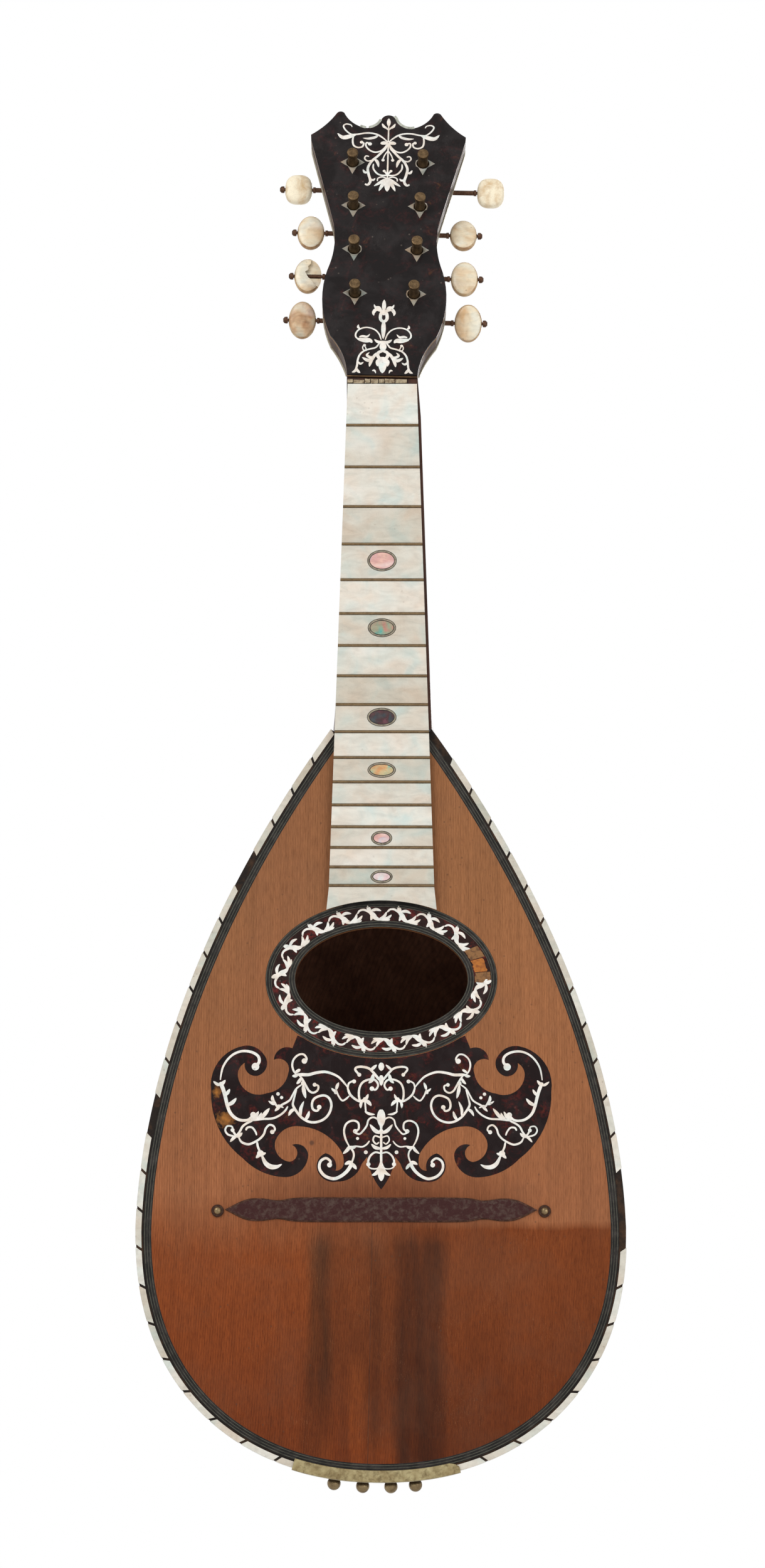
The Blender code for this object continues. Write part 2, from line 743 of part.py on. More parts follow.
def make_neck():
    rings = []
    back_steps = 12
    lean, skew = math.tan(HEAD_LEAN), math.tan(HEAD_SKEW)
    top_z = HEAD_FOOT.z + 0.1 * MM
    bottom_z = JOINT_Z + GAP
    blend_z = -14 * MM
    heights = [bottom_z + (HEEL_START_Z - bottom_z) * k / 6 for k in range(6)]
    heights += [HEEL_START_Z + (blend_z - HEEL_START_Z) * k / 3 for k in range(3)]
    heights += [blend_z + (top_z - blend_z) * k / 3 for k in range(4)]
    for z in heights:
        depth = NECK_DEPTH + NECK_DEPTH_GROWTH * z / HEEL_START_Z
        wide = board_half_width(z) - 0.1 * MM
        heel = max(0.0, (HEEL_START_Z - z) / (HEEL_START_Z - bottom_z))
        depth += (HEEL_DEPTH - depth) * heel**2.4
        wide += (HEEL_HALF_WIDTH - wide) * heel**1.5
        head = max(0.0, (z - blend_z) / (top_z - blend_z))
        depth += (NECK_TOP_DEPTH - depth) * (3 * head**2 - 2 * head**3)
        ring = []
        for k in range(back_steps + 1):
            turn = math.pi * k / back_steps
            c, s = math.cos(turn), max(math.sin(turn), 0)
            x = wide * math.copysign(abs(c) ** 0.85, c)
            y = depth * s**0.9
            ring.append((x, y, z - (lean * (y - HEAD_FOOT.y) + skew * x) * head))
        rings.append(ring)
    add_piece("neck", loft(rings), "rosewood")

    low_z = ROSETTE_Z + ROSETTE_OUTER[1] - 8 * MM
    side = [(low_z, -GAP), (BOARD_TOP_Z, -GAP), (BOARD_TOP_Z, -BOARD_RISE)]
    for number in range(1, FRETS + 1):
        z, half = fret_z(number), FRET_WIDTH / 2
        crown = -BOARD_RISE - FRET_HEIGHT
        side += [(z + half, -BOARD_RISE), (z + 0.6 * half, crown)]
        side += [(z - 0.6 * half, crown), (z - half, -BOARD_RISE)]
    side.append((low_z, -BOARD_RISE))
    rings = []
    for way in (-1, 1):
        rings.append([(way * board_half_width(z), y, z) for z, y in side])
    board = add_piece("fingerboard", loft(rings), "black_wood")
    end = ellipse(ROSETTE_OUTER, ROSETTE_Z, 1.5 * GAP)
    boolean(board, add_cutter("board_end_cutter", prism(end, -9 * MM, 9 * MM)))


def tuner_places():
    """Name, side, number, x and s of each post on the head."""
    for side, way in (("left", -1), ("right", 1)):
        for k in range(TUNERS):
            x = way * (POST_X + POST_STEP_X * k)
            yield f"{side}_{k + 1}", side, k, x, POST_S + POST_STEP_S * k


def make_head():
    frame = bpy.data.objects.new("head_frame", None)
    frame.matrix_basis = (
        Matrix.Translation(HEAD_FOOT)
        @ Matrix.Rotation(-HEAD_LEAN, 4, "X")
        @ Matrix.Rotation(HEAD_SKEW, 4, "Y")
    )
    bpy.context.collection.objects.link(frame)

    parts = []
    for _, _, _, x, s in tuner_places():
        hole = turned(((POST_HOLE_R, -4 * MM), (POST_HOLE_R, 16 * MM)), 8)
        parts.append((hole, Matrix.Translation((x, 0, s))))
    post_holes = add_cutter("post_holes_cutter", joined(parts), frame)

    edge = mirrored(trace(HEAD_START, (HEAD_FIRST_LEG,) + HEAD_LEGS))
    veneer = prism(edge, 0, VENEER_THICK)
    veneer = add_piece("head_veneer", veneer, "tortoiseshell", frame, flat=True)
    core = prism(edge, VENEER_THICK + GAP, HEAD_BACK)
    core = add_piece("headstock", core, "walnut", frame, flat=True)
    for piece in (veneer, core):
        boolean(piece, post_holes)

    edge = mirrored(trace(PLATE_START, (PLATE_FIRST_LEG,) + HEAD_LEGS))
    back = BACK_PLATE_FRONT + BACK_PLATE_THICK
    plate = prism(edge, BACK_PLATE_FRONT, back)
    plate = add_piece("tuner_plate", plate, "nickel_silver", frame, flat=True)
    boolean(plate, post_holes)
    half = 1.9 * MM
    outer = WORM_DEPTH + 2.1 * MM
    profile = ((half, back - GAP), (half, WORM_DEPTH), (0.6 * half, outer))
    profile += tuple((-s, y) for s, y in reversed(profile))
    lugs, bores = [], []
    for _, _, _, x, s in tuner_places():
        for way in (-1, 1):
            middle = x + way * LUG_OFFSET
            rings = [
                [(middle + end * LUG_THICK / 2, y, up) for up, y in profile] for end in (-1, 1)
            ]
            lugs.append((loft(rings), Matrix.Translation((0, 0, s - WORM_BELOW_POST))))
        bore = turned(((LUG_HOLE_R, -7 * MM), (LUG_HOLE_R, 7 * MM)), 8, "X")
        place = Matrix.Translation((x, WORM_DEPTH, s - WORM_BELOW_POST))
        bores.append((bore, place))
    boolean(plate, add_cutter("lugs_cutter", joined(lugs), frame), "UNION")
    boolean(plate, add_cutter("lug_bores_cutter", joined(bores), frame))
    return frame


def post_mesh():
    """A string post: flared top, journal through the head, collar, gear seat and screw head."""
    back = BACK_PLATE_FRONT + BACK_PLATE_THICK
    gear_front = WORM_DEPTH - GEAR_THICK / 2
    gear_back = WORM_DEPTH + GEAR_THICK / 2
    seat_r = GEAR_BORE_R - GAP
    profile = (
        (2.2 * MM, -POST_RISE),
        (2.35 * MM, -POST_RISE + MM),
        (1.85 * MM, -POST_RISE + 3 * MM),
        (2.15 * MM, -0.6 * MM),
        (2.15 * MM, back + GAP),
        (2.8 * MM, back + GAP),
        (2.8 * MM, gear_front - GAP),
        (seat_r, gear_front - GAP),
        (seat_r, gear_back + GAP),
        (2.3 * MM, gear_back + GAP),
        (1.9 * MM, gear_back + GAP + 0.9 * MM),
    )
    return turned(profile, 8)


def gear_mesh():
    """A wheel whose teeth are turned a little from face to face, to lie along the worm's thread."""
    twist = math.radians(2.5)
    tip, root = 0.055, 0.115
    turns = []
    for tooth in range(GEAR_TEETH):
        middle = math.tau * (tooth + 0.5) / GEAR_TEETH - math.pi / 2
        turns += [(middle - root, GEAR_ROOT_R), (middle - tip, GEAR_TIP_R)]
        turns += [(middle + tip, GEAR_TIP_R), (middle + root, GEAR_ROOT_R)]
    rings = []
    for way in (-1, 1):
        y = WORM_DEPTH + way * GEAR_THICK / 2
        rings.append(
            [(r * math.cos(t - way * twist), y, r * math.sin(t - way * twist)) for t, r in turns]
        )
    return loft(rings)


def worm_mesh(middle, low_side, high_side):
    """A shaft along X with a right-hand thread round x = middle, and rings of (x, r) past it."""
    sides = WORM_SIDES
    last = round(WORM_TURNS * sides)
    start = middle - 1.75 * WORM_PITCH
    bm = bmesh.new()

    def point(step, x, radius):
        turn = math.tau * step / sides
        return bm.verts.new((x, radius * math.cos(turn), radius * math.sin(turn)))

    root = [
        point(k, start + WORM_PITCH * k / sides, WORM_ROOT_R) for k in range(last + sides + 1)
    ]
    crests = []
    for k in range(last + 1):
        rise = min(1.0, 2 * k / sides, 2 * (last - k) / sides)
        radius = WORM_ROOT_R + (WORM_CREST_R - WORM_ROOT_R) * rise
        x = start + WORM_PITCH * (k / sides + 0.5)
        crests.append([point(k, x + way * WORM_CREST_HALF, radius) for way in (-1, 1)])
    for k in range(last):
        (a, b), (c, d) = crests[k], crests[k + 1]
        bm.faces.new((root[k], root[k + 1], c, a))
        bm.faces.new((a, c, d, b))
        bm.faces.new((b, d, root[k + 1 + sides], root[k + sides]))

    def run(stations, first_step):
        rows = [[point(first_step + k, x, r) for k in range(sides)] for x, r in stations]
        for near, far in zip(rows, rows[1:]):
            for k in range(sides):
                after = (k + 1) % sides
                bm.faces.new((near[k], near[after], far[after], far[k]))
        bm.faces.new(rows[-1])
        return rows[0]

    low = run(low_side, 0)
    for k in range(sides - 1):
        bm.faces.new((low[k], low[k + 1], root[k + 1], root[k]))
    bm.faces.new((low[-1], low[0], root[0], *crests[0], root[sides], root[sides - 1]))
    high = run(high_side, last)
    for k in range(1, sides - 1):
        bm.faces.new((root[last + k], root[last + k + 1], high[k + 1], high[k]))
    end = root[last + sides]
    bm.faces.new((root[last + sides - 1], end, high[0], high[-1]))
    a, b = crests[last]
    bm.faces.new((root[last], root[last + 1], high[1], high[0], end, b, a))
    return bm


def button_mesh(cushion, turn):
    """A flat disc, or a thicker squared cushion, drilled along X for its shaft."""
    steps = 12
    tall = CUSHION_HALF_HEIGHT if cushion else BUTTON_HALF_HEIGHT
    thick = CUSHION_HALF_THICK if cushion else BUTTON_HALF_THICK
    power = 0.75 if cushion else 1.0
    rings = []
    for size, height in ((0.84, -1), (1, -0.3), (1, 0.3), (0.84, 1)):
        ring = []
        for k in range(steps):
            c, s = math.cos(math.tau * k / steps), math.sin(math.tau * k / steps)
            x = BUTTON_HALF_WIDTH * size * math.copysign(abs(c) ** power, c)
            z = tall * size * math.copysign(abs(s) ** power, s)
            ring.append((x, thick * height, z))
        rings.append(ring)
    bm = loft(rings)
    bm.transform(Matrix.Rotation(turn, 4, "X"))
    return bm


def make_tuners(frame):
    gear_bore = turned(((GEAR_BORE_R, 8 * MM), (GEAR_BORE_R, 20 * MM)), 8)
    gear_cutters = joined(
        [(gear_bore.copy(), Matrix.Translation((x, 0, s))) for _, _, _, x, s in tuner_places()]
    )
    gear_bore.free()
    gear_cutters = add_cutter("gear_bores_cutter", gear_cutters, frame)
    drillings = []
    for _, side, k, _, s in tuner_places():
        way = 1 if side == "right" else -1
        middle = way * BUTTON_X[side][k] * MM
        blind = side == "right" and k == TUNERS - 1
        near = middle - way * 9 * MM
        far = middle + way * (2 if blind else 9) * MM
        hole = turned(((BUTTON_HOLE_R, min(near, far)), (BUTTON_HOLE_R, max(near, far))), 8, "X")
        place = Matrix.Translation((0, WORM_DEPTH, s - WORM_BELOW_POST))
        drillings.append((hole, place))
    drillings = add_cutter("button_holes_cutter", joined(drillings), frame)

    for name, side, k, x, s in tuner_places():
        way = 1 if side == "right" else -1
        add_piece(f"post_{name}", post_mesh(), "brass", frame, (x, 0, s))
        gear = add_piece(f"gear_{name}", gear_mesh(), "brass", frame, (x, 0, s), flat=True)
        boolean(gear, gear_cutters)

        cushion = k == TUNERS - 1
        blind = cushion and side == "right"
        button_x = way * BUTTON_X[side][k] * MM
        lug = LUG_OFFSET + LUG_THICK / 2
        thread_end = 2.1 * WORM_PITCH
        ends = ((thread_end, WORM_ROOT_R), (lug + GAP, WORM_ROOT_R), (lug + GAP, 1.7 * MM))
        ends += ((lug + GAP + 0.8 * MM, 1.7 * MM),)
        inner = [(x - way * at, r) for at, r in ends]
        seat = button_x - way * (BUTTON_HALF_WIDTH + GAP)
        beyond = button_x + way * (BUTTON_HALF_WIDTH + GAP)
        outer = [(x + way * thread_end, WORM_ROOT_R), (seat, WORM_ROOT_R), (seat, SHAFT_END_R)]
        if blind:
            outer.append((button_x + way * MM, SHAFT_END_R))
        else:
            outer += [
                (beyond, SHAFT_END_R),
                (beyond, KNOB_R),
                (beyond + way * 1.3 * MM, KNOB_R),
                (beyond + way * 1.9 * MM, 0.7 * KNOB_R),
            ]
        low_side, high_side = (inner, outer) if way > 0 else (outer, inner)
        place = (0, WORM_DEPTH, s - WORM_BELOW_POST)
        worm = worm_mesh(x, low_side, high_side)
        add_piece(f"worm_shaft_{name}", worm, "steel", frame, place)

        turn = math.radians(BUTTON_TURN[side][k])
        button = button_mesh(cushion, turn)
        place = (button_x, WORM_DEPTH, s - WORM_BELOW_POST)
        material = "bone" if cushion else "pearl"
        button = add_piece(f"button_{name}", button, material, frame, place)
        boolean(button, drillings)
        if name == "left_2":
            corners = ((-1, 1.5), (1.5, 9), (9, 9), (9, -6), (2.6, -4.2))
            chip = prism([(x * MM, z * MM) for x, z in corners], -4 * MM, -0.1 * MM)
            chip.transform(Matrix.Translation(place) @ Matrix.Rotation(turn, 4, "X"))
            boolean(button, add_cutter("chip_cutter", chip, frame))


def main():
    for obj in list(bpy.data.objects):
        bpy.data.objects.remove(obj, do_unlink=True)
    make_bowl()
    make_edging()
    make_soundboard()
    make_bridge_marks()
    make_tail_fittings()
    make_neck()
    make_tuners(make_head())


main()
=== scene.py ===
"""An old bowl-backed mandolin, dressed: its shell, shell inlays, woods, tuners and fittings.

Lengths in tuples are in millimetres, in the frame of the packed part: z is 0 at the nut, y is 0
on the flat of the soundboard and grows to the back, and x grows to the right.
"""

import math
import random

import bmesh
import bpy
from mathutils import Matrix, Vector


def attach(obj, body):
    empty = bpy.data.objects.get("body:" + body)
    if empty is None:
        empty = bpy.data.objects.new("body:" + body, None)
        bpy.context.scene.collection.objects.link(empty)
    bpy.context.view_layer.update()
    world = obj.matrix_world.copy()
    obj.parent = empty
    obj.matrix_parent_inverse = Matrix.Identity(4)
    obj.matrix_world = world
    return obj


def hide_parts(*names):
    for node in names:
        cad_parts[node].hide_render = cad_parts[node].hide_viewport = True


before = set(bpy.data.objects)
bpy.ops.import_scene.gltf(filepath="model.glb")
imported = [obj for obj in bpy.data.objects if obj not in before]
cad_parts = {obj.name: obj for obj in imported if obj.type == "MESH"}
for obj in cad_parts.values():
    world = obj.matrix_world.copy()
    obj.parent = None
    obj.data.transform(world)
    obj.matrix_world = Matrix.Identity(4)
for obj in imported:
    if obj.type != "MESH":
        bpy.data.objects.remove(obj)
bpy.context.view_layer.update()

bl_info = {
    "name": "Bowl-backed mandolin",
    "version": (1, 0, 0),
    "blender": (4, 5, 0),
    "location": "View3D > Sidebar > Mandolin",
    "description": "Makes the mandolin's visible pieces over its packed frame",
    "category": "Object",
}

MM = 0.001

# The body's outline, its neck joint, and the fold of the soundboard
BODY_HALF = 94
BODY_WIDEST_Z = -339
TAIL_REACH = 94.8
TAIL_POWER_X = 0.936
TAIL_POWER_Z = 2.304
JOINT_Z = -143.0
CANT_Z = -338.5
CANT_SLOPE = math.tan(math.radians(6))

BOWL_DEPTH = 138.4
BOWL_DEEPEST_Z = -325

# The rosette's centre, and the half axes of its outer edge and of the sound hole
ROSETTE_Z = -242.8
ROSETTE_OUTER = (45.0, 30.9)
ROSETTE_HOLE = (33.5, 20.6)

BOARD_TOP_Z = -0.9
BOARD_HALF_NUT = 14.1
BOARD_TAPER = 0.0322

HEAD_LEAN = math.radians(13)
HEAD_SKEW = math.radians(1.2)
HEAD_FRAME = (
    Matrix.Translation((0, -2.2 * MM, 2.6 * MM))
    @ Matrix.Rotation(-HEAD_LEAN, 4, "X")
    @ Matrix.Rotation(HEAD_SKEW, 4, "Y")
)

BRIDGE_Z = -332.3
BRIDGE_PIN = (62.6, -332.8)
HITCH_X = (-17.9, -6.9, 3.9, 13.3)
TAIL_PLATE_X = (-33.6, 30.2)

WORM_DEPTH = 12.6
WORM_BELOW_POST = 5.55
GEAR_TEETH = 12
WORM_PITCH = math.tau * 3.7 / GEAR_TEETH
BUTTON_X = {"left": (33.4, 31.8, 31.2, 36.9), "right": (34.4, 32.6, 31.9, 43.0)}
BUTTON_TURN = {"left": (20, 6, 4, 10), "right": (24, 6, -6, 12)}

# Right half of the head's edge from its foot up: one point is a straight leg, two are an arc
HEAD_START = (14.2, 0.4)
PLATE_START = (14.9, 5.5)
HEAD_FIRST_LEG = ((15.6, 8.0), (21.5, 18.8))
PLATE_FIRST_LEG = ((17.0, 11.0), (21.5, 18.8))
HEAD_LEGS = (
    ((25.2, 35.0), (22.6, 53.0)),
    ((20.9, 65.0), (22.6, 77.0)),
    ((32.0, 114.0),),
    ((32.2, 116.6),),
    ((26.1, 121.9), (21.8, 127.6)),
    ((20.3, 128.6), (18.6, 127.9)),
    ((14.6, 122.8), (9.6, 120.5)),
    ((5.6, 121.6), (3.2, 124.4)),
    ((2.0, 126.4), (0.0, 127.1)),
)

# Right half of the pickguard's edge, from the rosette round the wing to the point at the bottom
GUARD_START = (32.4, -264.9)
GUARD_LEGS = (
    ((34.4, -269.9),),
    ((38.6, -270.0), (41.5, -274.4)),
    ((37.0, -275.0), (35.9, -279.6)),
    ((38.2, -284.4), (44.1, -287.4)),
    ((51.2, -287.0), (55.3, -280.9)),
    ((54.9, -278.0), (52.7, -275.6)),
    ((51.6, -279.4), (47.8, -280.7)),
    ((44.5, -277.8), (45.4, -272.4)),
    ((48.9, -269.5), (53.2, -269.0)),
    ((62.3, -274.4), (65.6, -286.5)),
    ((62.4, -301.4), (53.1, -312.6)),
    ((46.0, -317.7), (37.6, -319.8)),
    ((31.0, -317.6), (28.0, -311.4)),
    ((29.8, -308.0), (34.3, -307.4)),
    ((32.2, -310.6), (35.2, -313.9)),
    ((39.4, -311.6), (40.6, -305.6)),
    ((37.4, -301.6), (31.5, -300.2)),
    ((21.5, -303.4), (15.6, -309.4)),
    ((14.5, -312.0), (14.4, -313.9)),
    ((15.2, -316.4), (17.5, -317.3)),
    ((18.4, -312.4), (21.4, -310.6)),
    ((24.4, -313.6), (23.6, -318.9)),
    ((20.6, -321.2), (17.0, -321.5)),
    ((10.6, -319.4), (7.4, -314.6)),
    ((5.4, -312.0),),
    ((3.6, -318.6), (0.0, -324.5)),
)

# Right half of the old glue's edge above the bridge line
FOOTPRINT = ((0, 4.4), (30, 4.4), (39, 3.4), (46, 4.1), (52, 3.5), (59.6, 0))

# Shell scrollwork, left halves, with x to the left. A stem has its two end widths and then its
# points, a leaf its width and its points, and a dot its radius and centre. On the pickguard z
# is counted down from -270, on the head up from its foot.
PICKGUARD_INLAY = (
    (1.53, 48.6, 7.1),
    (1.2, 0.65, 47.2, 5.3, 47.5, 3.2, 49.3, 1.8, 51.8, 1.1, 54.4, 1.2, 57.1, 2.3, 59.4, 4.4, 61.1,
     7.2, 61.8, 10, 62.1, 12.3),
    (1.11, 62.1, 14.4, 63.4, 13.9, 64.8, 12.8),
    (1.11, 62.2, 14.4, 61.1, 13.5, 60.1, 12.3),
    (1.62, 0.93, 62.2, 13.2, 61.5, 14.6, 60.6, 17, 59.9, 19.7, 59.2, 22.5, 58.1, 25.1, 56.2, 27,
     53.9, 27.9, 51.1, 27.7),
    (1.3, 60.4, 18.4, 59.2, 17.2, 58.4, 15.8),
    (1.3, 59.4, 22.1, 57.4, 21.1, 55.8, 19.3),
    (1.2, 49.3, 25.8),
    (1.2, 50, 27.7, 48.4, 26.5, 47.2, 24.4),
    (0.93, 0.74, 49.7, 27.7, 45.6, 27.4, 41.9, 27.2, 39.1, 26, 37, 24.2, 36, 22.5),
    (1.48, 46.5, 27.5, 44.7, 25.3, 43, 23.2),
    (1.11, 47.9, 27.5, 46.7, 26.5, 46.1, 24.9),
    (0.93, 0.83, 49.7, 27.9, 51.8, 29.1, 53.4, 30.4, 54.4, 32.3, 55.8, 33.7),
    (1.2, 55.3, 33.7, 56.9, 34.9, 58.1, 36.3),
    (1.11, 55.8, 34.4, 54.4, 33.7, 53.4, 32.7),
    (0.83, 0.65, 55.8, 34.2, 58.8, 33.5, 60, 31.8, 59.2, 30.2, 57.4, 30.4),
    (0.79, 57.2, 31.7),
    (0.93, 0.74, 54.8, 34.4, 53.7, 36.3, 51.1, 37.2, 48.6, 36.3, 46.5, 34.9, 45.1, 33.2, 44.4,
     31.1, 43, 29.7, 41.4, 30.2, 40.9, 31.6),
    (0.93, 41.9, 32.4),
    (0.83, 0.65, 52.1, 31.8, 51.4, 30.7, 49.7, 30.7, 48.4, 32.3, 47.9, 33.7),
    (0.83, 1.02, 47.7, 36.3, 47.4, 38.1, 46.5, 40.2),
    (1.3, 46.4, 40.7),
    (1.2, 46.5, 40.7, 47.2, 41.6, 48.1, 42.5),
    (1.2, 46.3, 40.7, 45.4, 40.9, 44.3, 40.5),
    (1.57, 45.8, 41.6, 44.4, 44.4, 42.4, 45.8, 40, 45.8, 38.1, 44.8),
    (0.65, 0.93, 30.1, 13.7, 32.7, 15.6, 34.3, 18.4, 35.4, 20.2, 37.7, 21.6, 40, 22.5, 41.4,
     20.2),
    (1.11, 40.7, 21.6, 41.9, 21.4, 43.5, 20.4),
    (1.11, 41.3, 21.1, 41.9, 19.7, 41.9, 18.2),
    (0.74, 39.8, 17.7),
    (0.65, 38.4, 19.1),
    (1.11, 38.9, 22.1, 39.8, 23.2, 41, 24.4),
    (0.93, 40, 22.1, 38.9, 22.4, 37.6, 23.1),
    (1.11, 29.7, 4.9),
    (0.79, 0.79, 28.9, 4.5, 29, 3.5, 30.1, 2.3, 32, 2.5, 33.8, 4.2, 34.4, 6.5, 33.8, 8.8, 32.7,
     10.2),
    (1.2, 33.3, 9.5, 32, 8.6, 31.2, 8.2),
    (1.11, 32.2, 10.4, 33.3, 10.7, 34.4, 10.7),
    (1.2, 30.8, 11.4, 31.7, 12.8, 32.7, 13.8),
    (1.3, 0.65, 32.7, 10.2, 30.8, 10.2, 28, 10.2, 25.3, 9.5, 22, 9.1, 19.3, 9.7, 16.5, 11.1, 14.2,
     13.5, 13, 15.1),
    (0.93, 0.74, 31.7, 10.2, 30.3, 12.3, 29, 14.6, 27.8, 16.5, 26.2, 17.2, 24.6, 16.3, 24.3,
     14.6),
    (0.83, 25.7, 14.1),
    (0.93, 30.1, 13.5),
    (1.39, 30.1, 14.2, 29.8, 16.7, 29.1, 19.4),
    (0.93, 0.83, 32.7, 16, 33.8, 20.2, 34, 22.1, 32.7, 24.4, 30.8, 26.7, 28, 28.4, 25, 28.6, 22,
     27.4, 20, 25.1, 19.2, 22.1, 20, 19.5, 21.8, 18.3, 24.1, 18.6, 26, 19.7, 26.7, 21.8, 26.2,
     23.7, 24.6, 24.2),
    (0.93, 23.9, 22.8),
    (1.2, 31, 26.3, 31, 23.5, 29.8, 20.5),
    (1.11, 29.4, 27.9, 28.3, 26.3, 27.7, 24.3),
    (1.2, 33.3, 23.5, 34.7, 24.4, 35.7, 26.2),
    (1.02, 17.2, 16.5, 18.3, 16.3, 19.2, 15.4),
    (1.02, 17.4, 16, 17, 14.6, 16.4, 13.2),
    (0.69, 17.6, 17.1),
    (0.65, 0.65, 17.4, 16.3, 16.5, 18.4, 15.1, 20.2, 13.7, 19.7, 12.3, 18.4),
    (0.83, 10.5, 12.8),
    (0.74, 0.83, 11.3, 12.8, 12.6, 13.7, 13, 16),
    (0.93, 0.74, 13, 15.1, 12.1, 17.7, 10, 19.7, 7.7, 20.7, 6.3, 20),
    (0.83, 6.3, 19.7),
    (0.83, 0.74, 8.2, 20.2, 8.6, 16.5, 7.5, 13.5, 4.9, 12.1, 2.4, 12.3, 1.2, 14.2, 2.2, 16),
    (0.93, 3.6, 15.6),
    (1.11, 6.3, 20, 5.6, 19.1, 5, 17.7),
    (1.2, 6.3, 20, 4.9, 20.9, 3.8, 22.3),
    (1.02, 7.5, 20.7, 7.9, 21.8, 7.9, 23.2),
    (1.02, 6.3, 24.4, 4.5, 25.4, 2.4, 25.6),
    (0.65, 0.65, 6.3, 20.2, 6.1, 22.5, 5.9, 24.9),
    (0.93, 10, 32.1),
    (0.74, 0.74, 9.3, 31.8, 8.6, 30.9, 8.9, 28.8, 10.9, 28, 13.3, 29.1, 14.3, 31.8, 13.7, 35.1,
     12.3, 37.9),
    (0.74, 0.65, 10.5, 32.3, 8.6, 33.2, 7.3, 32.3, 5.6, 30, 4.9, 27.7, 3.1, 26.7, 1.2, 27.7, 0.3,
     30),
    (1.3, 12.1, 37.7, 13, 39.3, 14.7, 40.8),
    (1.11, 12.6, 38.1, 10.9, 38.4, 9.5, 37.8),
    (0.65, 0.65, 11.4, 38.1, 9.6, 37.9, 7.3, 38.1, 5.6, 37.2, 4.5, 35.8),
    (0.65, 9.1, 34.9),
    (0.79, 5.9, 40.2),
    (0.83, 0.74, 12.3, 38.1, 10.9, 39.7, 10.5, 41.6, 11.2, 43.9),
    (1.2, 11.3, 43.9, 12.6, 44.2, 14, 44.9),
    (1.2, 11.3, 44.4, 10.3, 45.6, 9.5, 46.8),
    (0.83, 11.6, 45.1),
    (1.39, 0.83, 11.9, 45.8, 13.3, 47.7, 15.6, 49.5, 18.3, 50.4, 21.6, 49.3, 23.6, 46.7, 23.4,
     43.9, 21.3, 42.5, 19.5, 43.7),
    (1.02, 19.8, 45.1),
    (1.85, 0, 5.5, 0, 7.2, 0, 8.7),
    (0.83, 1.02, 10, 8.4, 9.6, 7.4, 7.7, 7.1, 4.9, 7.7, 3.1, 9.3, 1.2, 11.6, 0, 12.8),
    (0.83, 8.5, 10.2),
    (1.57, 0, 10.4, 0, 12.3, 0, 14.5),
    (1.39, 3.1, 10, 3.6, 12.1, 4.9, 13.5),
    (1.2, 4.2, 8.4, 2.9, 7.4, 1.7, 6.3),
    (2.78, 0, 23.7, 0, 27.2, 0, 30.5),
    (0.93, 0, 32.1),
    (1.3, 0.3, 32.8, 2.4, 31.8, 4.4, 29.4),
    (0.93, 0.93, 0, 32.3, 0, 37, 0, 41.6, 0, 46.5),
    (0.65, 0.74, 0, 34.4, 2.4, 33.9, 3.1, 35.6, 1.9, 37, 0.8, 36.3),
    (0.65, 0.83, 0, 40.7, 2.2, 40.2, 4, 41.4, 4.9, 43.2),
    (1.2, 0.1, 38.8, 2.2, 38.4, 3.8, 37),
    (2.5, 0, 45.8, 0, 48.8, 0, 51.3),
    (0.83, 4.9, 44.8),
    (0.56, 0.65, 4.9, 45.6, 3.6, 46.5, 1.2, 46.3, 0.2, 43.9),
    (1.2, 0.3, 45.8, 1.7, 48.1, 3.6, 49.1),
)

